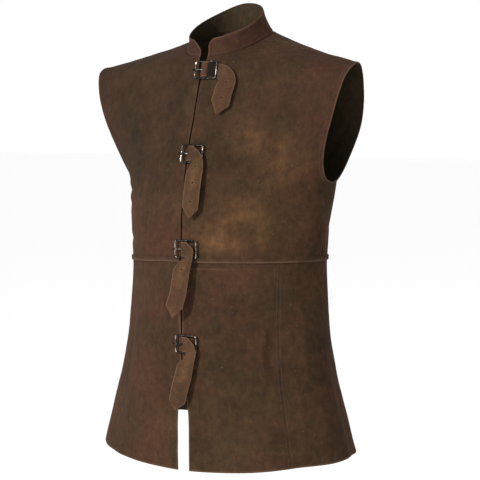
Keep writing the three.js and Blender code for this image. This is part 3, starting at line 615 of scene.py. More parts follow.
def suede_material(name, dark, middle, light, worn, casts):
    """Napped split hide: cloudy colour, fine pale flecks, a soft sheen and a short pile."""
    olive, reddish, ochre = casts
    n = Nodes(name)
    clouds = n.noise(11, 3, 0.55)
    patches = n.noise(42, 4, 0.6)
    mottle = n.noise(105, 5, 0.68, stretch=(1, 1, 0.75))
    fibres = n.noise(1500, 2, 0.6)
    tone = n.math("ADD", n.math("MULTIPLY", clouds, 0.5), n.math("MULTIPLY", patches, 0.5))
    color = n.ramp(tone, [(0.36, dark), (0.5, middle), (0.64, light)])
    hue = n.ramp(n.noise(9, 2, 0.5), [(0.42, olive), (0.6, reddish)])
    color = n.mix(0.35, color, hue)
    color = n.mix(n.math("MULTIPLY", n.mark("rust"), 0.75), color, reddish)
    cloudy = n.ramp(patches, [(0.3, grey(0.4)), (0.65, grey(1))])
    color = n.mix(n.math("MULTIPLY", n.mark("ochre"), cloudy), color, ochre)
    grain = n.ramp(mottle, [(0.34, grey(0.8)), (0.5, grey(1)), (0.66, (1.22, 1.2, 1.17))])
    color = n.mix(1.0, color, grain, "MULTIPLY")
    pale = n.ramp(n.noise(300, 2, 0.5), [(0.68, grey(0)), (0.76, grey(0.5))])
    color = n.mix(pale, color, worn)
    color = n.mix(n.math("MULTIPLY", n.mark("worn"), 0.55), color, worn)
    # Painted shade is mixed in here, by its mark on the points.
    n.put("Base Color", n.mix(n.mark("painted_shade"), color, PAINTED_SHADE))
    n.put("Roughness", n.ramp(patches, [(0.3, grey(0.84)), (0.7, grey(0.98))]))
    n.put("Specular IOR Level", 0.06)
    n.put("Sheen Weight", 0.03)
    n.put("Sheen Roughness", 0.5)
    n.put("Sheen Tint", worn)
    coarse = n.bump(n.noise(210, 4, 0.6), 0.0009, 0.5)
    n.put("Normal", n.bump(fibres, 0.0003, 0.5, coarse))
    return n.material


def cut_edge_material(name, dark, light):
    """The edge of the hide, paler and more fibrous than its face."""
    n = Nodes(name)
    fibres = n.noise(900, 3, 0.7)
    n.put("Base Color", n.ramp(fibres, [(0.3, dark), (0.7, light)]))
    n.put("Roughness", 0.95)
    n.put("Specular IOR Level", 0.2)
    n.put("Normal", n.bump(fibres, 0.0004, 0.6))
    return n.material


def nickel_material():
    """Darkened nickel, brighter where handling has rubbed it, with painted highlights along the
    outer bars.
    """
    n = Nodes("worn_nickel")
    wear_and_highlight = n.noise(160, 4, 0.6)
    scratches = n.noise(900, 2, 0.7, stretch=(1, 1, 0.15))
    color = n.ramp(wear_and_highlight, [(0.44, srgb(24, 24, 25)), (0.56, srgb(46, 44, 42)),
                            (0.68, srgb(120, 113, 104))])
    broken = n.ramp(n.noise(110, 2, 0.5), [(0.48, grey(0.06)), (0.6, grey(1))])
    # Painted highlight: broken bright streaks along the outer bars, from a mark on the points.
    painted_highlight = n.math("MULTIPLY", n.mark("wear_and_highlight"), broken)
    n.put("Base Color", n.mix(painted_highlight, color, srgb(168, 156, 144)))
    n.put("Metallic", 1.0)
    n.put("Specular Tint", (0.16, 0.15, 0.14))
    n.put("Roughness", n.ramp(wear_and_highlight, [(0.35, grey(0.36)), (0.65, grey(0.2))]))
    n.put("Normal", n.bump(scratches, 0.0002, 0.25))
    return n.material


def thread_material():
    n = Nodes("waxed_thread")
    twist = n.noise(2200, 1, 0.5, stretch=(1, 1, 2))
    n.put("Base Color", n.ramp(twist, [(0.3, srgb(46, 33, 23)), (0.7, srgb(68, 50, 36))]))
    n.put("Roughness", 0.7)
    n.put("Normal", n.bump(twist, 0.0002, 0.4))
    return n.material


BODY_SUEDE = suede_material("body_suede", srgb(38, 28, 18), srgb(51, 37, 24), srgb(63, 46, 31),
                            srgb(102, 77, 59), OUTER_CASTS)
# The flesh side: its own duller colour, with a dark worn colour that partly paints the shade inside
# the garment.
INNER_SUEDE = suede_material("inner_suede", srgb(46, 38, 27), srgb(54, 45, 32), srgb(61, 51, 37),
                             srgb(46, 36, 26), INNER_CASTS)
STRAP_SUEDE = suede_material("strap_suede", srgb(52, 37, 26), srgb(65, 47, 32), srgb(79, 58, 41),
                             srgb(108, 82, 60), OUTER_CASTS)
BODY_EDGE = cut_edge_material("body_cut_edge", srgb(44, 31, 22), srgb(70, 51, 38))
STRAP_EDGE = cut_edge_material("strap_cut_edge", srgb(74, 54, 40), srgb(110, 84, 63))
# For the outer side, the cut edge and the inner side.
BODY_MATERIALS = [BODY_SUEDE, BODY_EDGE, INNER_SUEDE]
NICKEL = nickel_material()
THREAD = thread_material()

# ---- Where the hide is paler, redder or ochre, and where shade is painted on ----

# Ochre clouds: x, z and half sizes of each, and how strong it is.
OCHRE_CLOUDS = [(142, -186, 48, 34, 0.68), (165, -228, 38, 32, 0.68), (108, -345, 54, 30, 0.6),
                (68, -362, 46, 22, 0.5), (126, -306, 44, 30, 0.4), (-120, -60, 60, 40, 0.2),
                (-60, -690, 60, 30, 0.2)]


def hide_marks(points, free_edge):
    """Attributes of a cloth piece: ochre clouds, a rusty cast, wear along free edges, and painted
    shade.
    """
    x, y, z = points[..., 0], points[..., 1], points[..., 2]
    front = smooth(-y / 30 + 0.5)
    ochre = 0
    for cloud_x, cloud_z, wide, tall, strength in OCHRE_CLOUDS:
        near = ((x - cloud_x) / wide) ** 2 + ((z - cloud_z) / tall) ** 2
        ochre = ochre + strength * np.exp(-near) * front
    back_clouds = smooth(0.5 + y / 30) * smooth(noise(points, 90, 21) * 2 - 0.7)
    broken = smooth(0.5 + 0.9 * noise(points, 38, 25) + 0.4 * noise(points, 14, 27))
    ochre = np.clip((ochre + 0.6 * back_clouds) * (0.35 + 0.85 * broken), 0, 1)
    rust = 0.5 * smooth(-x / 60) * smooth(-(z + 190) / 140)
    rust = rust + 0.45 * smooth((x - 150) / 60) * smooth((z + 230) / 60)
    rust = rust + 0.5 * smooth((z + 60) / 50) + 0.5 * smooth(noise(points, 62, 91) * 1.8)
    rust = rust + 0.5 * smooth((x - 165) / 45) * smooth((z + 290) / 50) * front
    rust = np.clip(rust * (0.7 + 0.5 * noise(points, 60, 23)), 0, 1)
    worn = bell(free_edge, 2.2) * (0.85 + 0.35 * noise(points, 16, 29))
    # Painted shade over the upper front, heaviest on the wearer's right, evening out the key light
    # that falls there.
    painted_shade = (0.12 + 0.22 * smooth(-x / 50)) * smooth((z + 340) / 150) * front
    return {"ochre": ochre, "rust": rust, "worn": np.clip(worn, 0, 1), "painted_shade": painted_shade}


# ---- Stitches ----

# A stitch: its length, the step to the next, how thick the thread is, how high its middle
# rides over the suede and how deep its ends go in.
STITCH = {"length": 2.9, "step": 4.2, "radius": 0.42, "high": 0.22, "deep": 0.4, "sides": 6}
# The rings of points round a thread: where along the stitch, how high, and how thick.
STITCH_RINGS = [(0, -STITCH["deep"], 0.5), (0.22, STITCH["high"], 1), (0.78, STITCH["high"], 1),
                (1, -STITCH["deep"], 0.5)]


def line_at(points, normals, runs, axis, distance, wanted):
    """Points and normals of a grid along the line at a distance from one of its edges.

    axis: along which runs grows. wanted: which of the grid's lines count, or None for all.
    """
    lines = []
    runs = np.broadcast_to(runs, points.shape[:2])
    for index in range(points.shape[1 - axis]):
        if wanted is not None and not wanted[index]:
            continue
        run = np.take(runs, index, axis=1 - axis)
        order = np.argsort(run)
        at = np.interp(distance, run[order], order)
        low = int(np.clip(math.floor(at), 0, len(run) - 2))
        share = at - low
        found = []
        for grid in (points, normals):
            column = np.take(grid, index, axis=1 - axis)
            found.append(column[low] * (1 - share) + column[low + 1] * share)
        lines.append(found)
    lines = np.array(lines)
    return lines[:, 0], unit(lines[:, 1])


def stitches(name, lines):
    """One mesh of short threads along lines of points and normals."""
    points, faces = [], []
    sides = STITCH["sides"]
    turn = 2 * np.pi * np.arange(sides) / sides
    for line, out in lines:
        run = run_along(line, 0)
        for start in np.arange(STITCH["step"] / 2, run[-1] - STITCH["length"], STITCH["step"]):
            first = len(points)
            for share, lift, girth in STITCH_RINGS:
                s = start + share * STITCH["length"]
                normal = unit(on_line(out, run, s))
                ahead = on_line(line, run, s + 1) - on_line(line, run, s - 1)
                side = unit(np.cross(ahead, normal))
                for angle in turn:
                    spoke = math.cos(angle) * side + math.sin(angle) * normal
                    points.append(on_line(line, run, s) + normal * lift
                                  + spoke * STITCH["radius"] * girth)
            for ring_start in range(first, first + 3 * sides, sides):
                for i in range(sides):
                    a, b = ring_start + i, ring_start + (i + 1) % sides
                    faces.append([a, b, b + sides, a + sides])
            faces.append(list(range(first, first + sides))[::-1])
            faces.append(list(range(first + 3 * sides, first + 4 * sides)))
    piece = build_mesh(name, points, faces, [THREAD], [0] * len(faces), {})
    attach(piece, BODY)
    return piece


def declare(piece, node):
    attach(piece, BODY)
    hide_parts(node)


# ---- Cloth pieces ----

# Gathers beside the waist seam, how far they reach above and below it, and its stitches' dent.
GATHERS = {"high": 0.55, "size": 13, "above": 16, "below": 24}
DENT = {"deep": 0.45, "width": 1.0}
# How high an armhole's turning stands, and the left front's facing, and where each ends.
TURNING = {"high": 0.5, "reach": 9, "fade": 2}
FACING = {"high": 0.35, "reach": 8, "fade": 1.5}

# Widths of the grids' cells: usual, and across the back pieces.
MESH_STEP = 2.6
BACK_STEP = 3.2
# Nominal lengths of the grids, in millimetres.
LONG = {"front": 440, "back": 455, "half_bodice": 300, "skirt": 380, "skirt_front": 200,
        "half_skirt_back": 420, "collar": 50}
# How far the lines of stitches lie from the edges.
SEAM_LINE = {"waist": 3.4, "seam": 3.2, "turned": 7.5, "front": 6.8, "collar": 4.6}


def spread(start, end, fine_start=0.0, fine_end=0.0, step=MESH_STEP, fine=0.9):
    """Distances from start to end, in fine steps for the first and last stretch."""
    marks = [start]
    while marks[-1] < end - 0.4 * fine:
        at = marks[-1]
        near = at - start < fine_start or end - at < fine_end + step
        marks.append(at + (fine if near and (fine_start or fine_end) else step))
    marks = np.array(marks)
    return start + (marks - start) * (end - start) / (marks[-1] - start)


def rows_by_distance(row_from, row_to, across, distances_wanted):
    """Section rows at wanted distances along the line across, as shares of its whole length."""
    rows = np.linspace(row_from, row_to, 1200)
    line = bodice_point(rows, np.full_like(rows, across))
    run = run_along(line, 0)
    shares = distances_wanted / distances_wanted[-1]
    return np.interp(shares, run / run[-1], rows)


def outward_of(points):
    x, y = points[..., 0], points[..., 1] - AXIS_Y
    return np.stack([x, y, 0.4 * np.abs(x)], -1)


def cloth_normals(points, split, joined):
    """Normals of a grid, or of two side by side that are one piece along the joined rows."""
    if split is None:
        return grid_normals(points, outward_of(points))
    halves = [points[:, :split], points[:, split:]]
    normals = np.concatenate([grid_normals(half, outward_of(half)) for half in halves], axis=1)
    shared = unit(normals[joined, split - 1] + normals[joined, split])
    normals[joined, split - 1] = shared
    normals[joined, split] = shared
    return normals


def cloth_quads(shape, split, joined):
    rows, columns = shape
    quads = grid_quads(rows, columns)
    if split is None:
        return quads
    quads = quads[quads[:, 0] % columns != split - 1]
    numbers = np.arange(rows * columns)
    welded = np.flatnonzero(joined) * columns + split
    numbers[welded] = welded - 1
    return numbers[quads]


def sew_up(node, points, normals, marks, quads, lines):
    """Makes a cloth piece's wall and stitches, and says what it stands for."""
    piece = wall("cloth_" + node, points, normals, marks, quads)
    thread = stitches("thread_" + node, lines)
    declare(piece, node)


def finish_cloth(node, points, extra, free_edge, runs, seams, split=None, joined=None):
    """Lays the fine form on a grid and makes the piece. Returns the outer side's points.

    seams: for each line of stitches the edge that it follows, its name in SEAM_LINE, and which
    rows or columns it crosses.
    """
    normals = cloth_normals(points, split, joined)
    raised = points + normals * (drape(points) + extra)[..., None]
    normals = cloth_normals(raised, split, joined)
    lines = [line_at(raised, normals, runs[edge], int(edge.endswith("column")), SEAM_LINE[line],
                     crossed) for edge, line, crossed in seams]
    sew_up(node, raised, normals, hide_marks(raised, free_edge),
           cloth_quads(points.shape[:2], split, joined), lines)
    return raised


def pull_in(points, axis, edges, share=1):
    """Leaves half the seam gap at the edge rows (axis 0) or columns (axis 1) that are sewn."""
    moved = points.copy()
    for edge in edges:
        inner = 1 if edge == 0 else -2
        line = np.take(points, edge, axis=axis)
        line = line + unit(np.take(points, inner, axis=axis) - line) * SEAM_GAP * share
        if axis == 0:
            moved[edge] = line
        else:
            moved[:, edge] = line
    return moved


def lap_lift(points):
    """The bodice's lower edge lies over the skirt's top edge."""
    z = points[..., 2] - sag(points)
    return LAP["lift"] * smooth((LAP["top"] + LAP["fade"] - z) / LAP["fade"])


def gathers(points, distance, reach, seed):
    """Uneven small gathers beside the waist."""
    waves = noise(points * [1, 1, 0.4], GATHERS["size"], seed)
    return GATHERS["high"] * waves * bell(distance, reach)


def turned_edge(distance, size):
    return size["high"] * smooth((size["reach"] - distance) / size["fade"])


def bodice_extra(points, runs, waist, shoulder, side, neck, armhole, seed):
    """A bodice piece's lap and waist, with its seams and its turned armhole."""
    dent = -DENT["deep"] * bell(runs[waist] - SEAM_LINE["waist"], DENT["width"])
    return (lap_lift(points) + (gathers(points, runs[waist], GATHERS["above"], seed) + dent)
            + sewn(side, points, seed + 2) + sewn(runs[shoulder], points, seed + 4)
            + sewn(neck, points, 37) + turned_edge(armhole, TURNING))


def neckline():
    """The neckline from the left front round the back to the right front."""
    rows = np.concatenate([np.linspace(ROW["neck_front"], ROW["neck_front"] + 0.4, 14)[:-1],
                           np.linspace(ROW["neck_front"] + 0.4, ROW["neck_back"], 90)])
    left = bodice_point(rows, np.zeros_like(rows))
    right = left[-2::-1] * [-1, 1, 1]
    return np.concatenate([left, right])


def distance_to(line, points):
    """Distance of each point of a grid from the nearest point of a line."""
    tree = KDTree(len(line))
    for index, place in enumerate(line):
        tree.insert(place, index)
    tree.balance()
    flat = points.reshape(-1, 3)
    return np.array([tree.find(place)[2] for place in flat]).reshape(points.shape[:-1])


def bodice_front(side):
    row = rows_by_distance(0, ROW["shoulder"], 0.5,
                           spread(0, LONG["front"], fine_start=16, fine_end=6))
    across = spread(0, LONG["half_bodice"], fine_start=12, fine_end=8) / LONG["half_bodice"]
    rows, columns = np.meshgrid(row, across, indexing="ij")
    points = bodice_point(rows, columns)
    points[..., 0] *= side
    points[..., 2] += sag(points)
    runs = edge_runs(points)
    side_seam = rows[:, :1] <= ROW["underarm_front"]
    below_neck = rows[:, :1] < ROW["neck_front"]
    armhole = np.where(side_seam, FAR, runs["last_column"])
    neck = np.where(below_neck, FAR, runs["first_column"])
    front_edge = np.where(below_neck, runs["first_column"], FAR)
    extra = bodice_extra(points, runs, "first_row", "last_row",
                         np.where(side_seam, runs["last_column"], FAR), neck, armhole, 31)
    free = np.minimum(np.minimum(armhole, front_edge + 1.8), runs["first_row"])
    sewn_rows = side_seam[:, 0]
    seams = [("first_row", "waist", None), ("last_row", "seam", None),
             ("last_column", "seam", sewn_rows), ("last_column", "turned", ~sewn_rows)]
    if side > 0:
        extra = extra + turned_edge(front_edge, FACING)
        seams.append(("first_column", "front", below_neck[:, 0]))
    points = pull_in(pull_in(points, 0, [-1]), 1, [-1], side_seam)
    return finish_cloth("front_left" if side > 0 else "front_right", points, extra, free,
                        runs, seams)


def bodice_back():
    row = rows_by_distance(ROW["shoulder"], ROW["waist_back"], 0.5,
                           spread(0, LONG["back"], fine_start=6, fine_end=16))
    row[np.argmin(np.abs(row - ROW["neck_back"]))] = ROW["neck_back"]
    half = spread(0, LONG["half_bodice"], fine_start=6, fine_end=8, step=BACK_STEP)
    half = half / LONG["half_bodice"]
    across = np.concatenate([-half[::-1], half])
    split = len(half)
    rows, columns = np.meshgrid(row, across, indexing="ij")
    points = bodice_point(rows, np.abs(columns))
    points[:, :split, 0] *= -1
    points[..., 2] += sag(points)
    runs = edge_runs(points)
    nearest_side = np.minimum(runs["first_column"], runs["last_column"])
    side_seam = rows[:, :1] >= ROW["underarm_back"]
    armhole = np.where(side_seam, FAR, nearest_side)
    extra = bodice_extra(points, runs, "last_row", "first_row",
                         np.where(side_seam, nearest_side, FAR),
                         distance_to(neckline(), points), armhole, 41)
    points = pull_in(pull_in(points, 0, [0]), 1, [0, -1], side_seam)
    sewn_rows = side_seam[:, 0]
    right_half = np.arange(len(across)) < split
    seams = [("last_row", "waist", None), ("first_row", "seam", right_half),
             ("first_row", "seam", ~right_half)]
    for edge in ("first_column", "last_column"):
        seams += [(edge, "seam", sewn_rows), (edge, "turned", ~sewn_rows)]
    finish_cloth("back", points, extra, np.minimum(armhole, runs["last_row"]),
                 runs, seams, split, row >= ROW["neck_back"])


# The edge of the turnings under the skirt's left front, which presses through below the waist.
RIDGE = {"below": 17.5, "high": 1.2, "width": 1.8, "faint": 0.6, "fading": 2.6}


def ridge_share(points):
    """How strongly the turnings press through: from the slit round the left, fading out."""
    angle, _ = polar(points)
    uneven = 0.75 + 0.5 * noise(points, 19, 57)
    return np.clip(smooth((angle - 1) / 5) * smooth((54 - angle) / 36) * uneven, 0, 1)


def skirt_extra(points, from_waist, from_seam):
    """The skirt's gathers under the lap, its seams, and the ridge of the turnings below it."""
    ridge = RIDGE["high"] * bell(from_waist - RIDGE["below"], RIDGE["width"])
    return (gathers(points, from_waist, GATHERS["below"], 51) + ridge * ridge_share(points)
            + sewn(from_seam, points, 53, DIP["faint"]))


def skirt_front(side):
    up = spread(0, LONG["skirt"], fine_start=6, fine_end=20) / LONG["skirt"]
    across = spread(0, LONG["skirt_front"], fine_start=8, fine_end=8) / LONG["skirt_front"]
    points = skirt_point(side, *np.meshgrid(up, across, indexing="ij"))
    runs = edge_runs(points)
    extra = skirt_extra(points, runs["last_row"], runs["last_column"])
    points = pull_in(points, 1, [-1])
    below_ridge = (np.abs(runs["last_row"] - RIDGE["below"]) + RIDGE["faint"]
                   + RIDGE["fading"] * (1 - ridge_share(points)))
    free = np.minimum(np.minimum(runs["first_row"], runs["first_column"]), below_ridge)
    return finish_cloth("skirt_front_left" if side > 0 else "skirt_front_right", points, extra,
                        free, runs, [("last_column", "seam", None)])


def skirt_back():
    up = spread(0, LONG["skirt"], fine_start=6, fine_end=12) / LONG["skirt"]
    half = spread(0, LONG["half_skirt_back"], fine_start=8, step=BACK_STEP)
    grid = np.meshgrid(up, 1 + half / LONG["half_skirt_back"], indexing="ij")
    points = np.concatenate([skirt_point(1, *grid), skirt_point(-1, *grid)[:, -2::-1]], axis=1)
    runs = edge_runs(points)
    from_seam = np.minimum(runs["first_column"], runs["last_column"])
    extra = skirt_extra(points, runs["last_row"], from_seam)
    seams = [(edge, "seam", None) for edge in ("first_column", "last_column")]
    finish_cloth("skirt_back", pull_in(points, 1, [0, -1]), extra, runs["first_row"],
                 runs, seams)


front_left = bodice_front(1)
front_right = bodice_front(-1)
bodice_back()
skirt_left = skirt_front(1)
skirt_right = skirt_front(-1)
skirt_back()

# ---- Collar ----

# How far the collar's lower edge reaches down inside the neckline.
COLLAR_SEAT = {"inward": 0.4, "below": 1.4}


def collar():
    base = neckline()
    along = run_along(base, 0)
    total = along[-1]
    first = math.asin(COLLAR["front_x"] / COLLAR["half_width"])
    angle = first + (2 * math.pi - 2 * first) * along / total
    top_x = COLLAR["half_width"] * np.sin(angle)
    top_y = COLLAR["centre_y"] - COLLAR["half_depth"] * np.cos(angle)
    cut = 0
    for label, from_end in (("left", along), ("right", total - along)):
        corner = COLLAR_CORNER[label]
        short = np.clip(1 - from_end / corner["reach"], 0, 1)
        cut = cut + corner["drop"] * short ** corner["bend"]
    leaning = COLLAR["lean"] * smooth(-top_x / COLLAR["half_width"])
    top_z = COLLAR["front_z"] + COLLAR["rise"] * (top_y - COLLAR["front_y"]) - cut - leaning
    top = np.stack([top_x, top_y, top_z], -1)
    up = spread(0, LONG["collar"], fine_start=5, fine_end=4, step=2.2)[:, None, None]
    up = up / LONG["collar"]
    points = base + (top - base) * up
    pulled = 1 - COLLAR["hollow"] * np.sin(np.pi * up[..., 0])
    points[..., 0] *= pulled
    points[..., 1] = COLLAR["centre_y"] + (points[..., 1] - COLLAR["centre_y"]) * pulled
    level = grid_normals(points, (points - [0, COLLAR["centre_y"], 0]) * [1, 1, 0])
    level = unit(level * [1, 1, 0])
    points[0] -= level[0] * COLLAR_SEAT["inward"] + [0, 0, COLLAR_SEAT["below"]]
    runs = edge_runs(points)
    rise = 0.5 * noise(points, 30, 61) + 0.2 * noise(points, 9, 63)
    rise = rise * smooth(runs["first_row"] / 10)
    rise = rise + 0.35 * bell(runs["last_row"] - 5, 3)
    raised = points + level * rise[..., None]
    ends = np.minimum(runs["first_column"], runs["last_column"])
    marks = hide_marks(raised, np.minimum(runs["last_row"], ends))
    marks["rust"] = np.clip(marks["rust"] + 0.3, 0, 1)
    line = line_at(raised, level, runs["first_row"], 0, SEAM_LINE["collar"], None)
    sew_up("collar", raised, level, marks, grid_quads(*raised.shape[:2]), [line])


collar()

# ---- Places on the suede ----

# The plane on which a buckle or strap lies is fitted to the nearest points of the suede.
FIT_RADIUS = 5.0
FIT_POINTS = 60


def skin_at(number, x, z):
    """The suede at a distance across and a height: its point, and out, right and up there."""
    if number == BUCKLE_ON_SKIRT:
        cloth = skirt_left if x > 0 else skirt_right
    else:
        cloth = front_left if x > 0 else front_right
    points = cloth.reshape(-1, 3)
    dx, dz = points[:, 0] - x, points[:, 2] - z
    near = dx ** 2 + dz ** 2
    chosen = np.argsort(near)[:FIT_POINTS]
    weight = np.exp(-near[chosen] / (2 * FIT_RADIUS ** 2)) + 1e-6
    table = np.stack([np.ones(len(chosen)), dx[chosen], dz[chosen]], -1)
    scaled = table * weight[:, None]
    fit = np.linalg.lstsq(scaled, points[chosen, 1] * weight, rcond=None)[0]
    point = Vector((x, float(fit[0]), z))
    out = Vector((float(fit[1]), -1.0, float(fit[2]))).normalized()
    right = Vector((0, 0, 1)).cross(out).normalized()
    return {"point": point, "out": out, "right": right, "up": out.cross(right)}


def seat(number):
    """The matrix that puts a piece drawn on its side in its place, in millimetres."""
    place = skin_at(number, BUCKLE["x"], BUCKLE_HEIGHTS[number])
    turn = Matrix((place["right"], place["up"], place["out"])).transposed().to_4x4()
    return Matrix.Translation(place["point"]) @ turn


# ---- Strips of suede: straps and the tabs that hold the buckles ----


def strip_faces(outline, holes, inner):
    """Triangles of a flat outline with holes, using loose points inside it."""
    loops = [outline, *holes]
    points = np.concatenate([*loops, inner])
    edges = []
    start = 0
    for loop in loops:
        count = len(loop)
        edges += [(start + i, start + (i + 1) % count) for i in range(count)]
        start += count
    found = delaunay_2d_cdt([Vector(p) for p in points], edges, [], 0, 1e-6)
    flat = np.array([tuple(p) for p in found[0]])
    triangles = np.array([tuple(f) for f in found[2]])
    middle = flat[triangles].mean(axis=1)
    keep = in_loop(outline, middle)
    for hole in holes:
        keep &= ~in_loop(hole, middle)
    return flat, triangles[keep]


def in_loop(loop, points):
    inside = np.zeros(len(points), bool)
    for (x_0, y_0), (x_1, y_1) in zip(loop, np.roll(loop, -1, axis=0)):
        if y_0 == y_1:
            continue
        crosses = (points[:, 1] >= min(y_0, y_1)) & (points[:, 1] < max(y_0, y_1))
        at = x_0 + (points[:, 1] - y_0) * (x_1 - x_0) / (y_1 - y_0)
        inside ^= crosses & (points[:, 0] < at)
    return inside


def circle(centre, radius, sides):
    turn = 2 * np.pi * np.arange(sides) / sides
    return np.stack([centre[0] + radius * np.cos(turn), centre[1] + radius * np.sin(turn)], -1)


def arc(x, y, radius, start, steps):
    """Points of a quarter circle, from an angle in degrees."""
    angles = [math.radians(start + 90 * i / (steps - 1)) for i in range(steps)]
    return [(x + radius * math.cos(a), y + radius * math.sin(a)) for a in angles]


def loose_points(s_values, t_values, holes, margin):
    """A grid of points, without those that lie in a hole's box or close beside it."""
    points = np.stack(np.meshgrid(s_values, t_values), -1).reshape(-1, 2)
    for loop in holes:
        middle = loop.mean(axis=0)
        reach = np.abs(loop - middle).max(axis=0) + margin
        points = points[(np.abs(points - middle) >= reach).any(axis=1)]
    return points


# A strip's cut edge: how full it is beside the faces, and how far its middle stands out.
STRIP_EDGE = {"full": 0.62, "out": 0.25}


def strip_mesh(name, flat, triangles, place, thick, marks):
    """A closed strip from a flat triangle mesh. place: flat points to middle points and facings."""
    used, triangles = np.unique(triangles, return_inverse=True)
    triangles, flat = triangles.reshape(-1, 3), flat[used]
    border = border_edges(triangles)
    rim = np.unique(border)
    across = flat[border[:, 1]] - flat[border[:, 0]]
    away = unit(np.stack([across[:, 1], -across[:, 0]], -1))
    push = np.zeros_like(flat)
    for end in (0, 1):
        np.add.at(push, border[:, end], away)
    middle, facing = place(flat)
    half = np.full((len(flat), 1), thick / 2)
    half[rim] *= STRIP_EDGE["full"]
    rim_points, _ = place(flat[rim] + unit(push[rim]) * STRIP_EDGE["out"])
    marks = {label: values[used] for label, values in marks.items()}
    return closed_mesh(name, middle + facing * half, middle - facing * half, triangles, border,
                       rim_points, [STRAP_SUEDE, STRAP_EDGE], marks)


def finish_strip(name, node, number, cut, place, thick, marks):
    """Makes a strap or tab from its cut, and says what it stands for.

    cut: flat points and triangles.
    """
    flat, triangles = cut
    piece = strip_mesh(f"{name}_suede_{number + 1}", flat, triangles, place, thick, marks)
    declare(piece, f"{node}_{number + 1}")


def strap_line(number):
    """Smooth curves through the strap's stations: middle, across and half width, by station."""
    rows = [(x, 0, h, 90, 0, STRAP["half"]) for x, h in STRAP_ROOT] + TAILS[number]
    middles, turned, halves = [], [], []
    for x, z, h, turn, roll, half in rows:
        place = skin_at(number, BUCKLE["x"] + x, BUCKLE_HEIGHTS[number] + z)
        middles.append(place["point"] + place["out"] * h)
        angle, lean = math.radians(turn), math.radians(roll)
        level = place["right"] * math.cos(angle) + place["up"] * math.sin(angle)
        turned.append(level * math.cos(lean) - place["out"] * math.sin(lean))
        halves.append(half)
    middles = np.array([tuple(p) for p in middles])
    turned = np.array([tuple(p) for p in turned])
    return [curve(column) for column in middles.T], [curve(column) for column in turned.T], halves


def at_station(curves, station):
    return np.stack([one(station) for one in curves], -1)


def slot_station(x):
    """The station of the strap's line at a distance across from the bar."""
    return float(np.interp(x, [row[0] for row in STRAP_ROOT], range(len(STRAP_ROOT))))


# Old kinks across each strap: where along it, and how deep or, above 0, how proud. Then each
# strap's cast of colour, and how far its tip curls out over its last stretch.
KINK = {"width": 3.2, "slant": 0.25}
STRAP_KINKS = [[(0.82, -0.7)], [(0.68, -0.6), (0.86, 0.5)], [(0.72, -1.5), (0.76, 1.0)],
               [(0.66, -0.8), (0.85, -0.9)]]
STRAP_OCHRE = [0.15, 0.7, 0.5, 0.6]
STRAP_RUST = [0.8, 0.25, 0.5, 0.3]
TIP_CURL = [0.6, 1.5, 2.4, 1.8]
TIP = 16
# Where shade is painted on a strap under the frame: across from the bar, and stations of the
# hanging end.
PAINTED_SHADE_AT = {"slit": -7, "window": (-1.2, 2.4)}


def strap_painted_shade(number, along, fine, run):
    """Painted shade under the frame: in the first strap's outer window, and from the sewn end to
    the slit.
    """
    slit = float(np.interp(slot_station(PAINTED_SHADE_AT["slit"]), fine, run))
    painted_shade = 0.75 * smooth((slit - along) / 5)
    if number == 0:
        start, end = (float(np.interp(len(STRAP_ROOT) + at, fine, run))
                      for at in PAINTED_SHADE_AT["window"])
        painted_shade = painted_shade + 0.9 * smooth((along - start) / 4) * smooth((end - along) / 4)
    return painted_shade


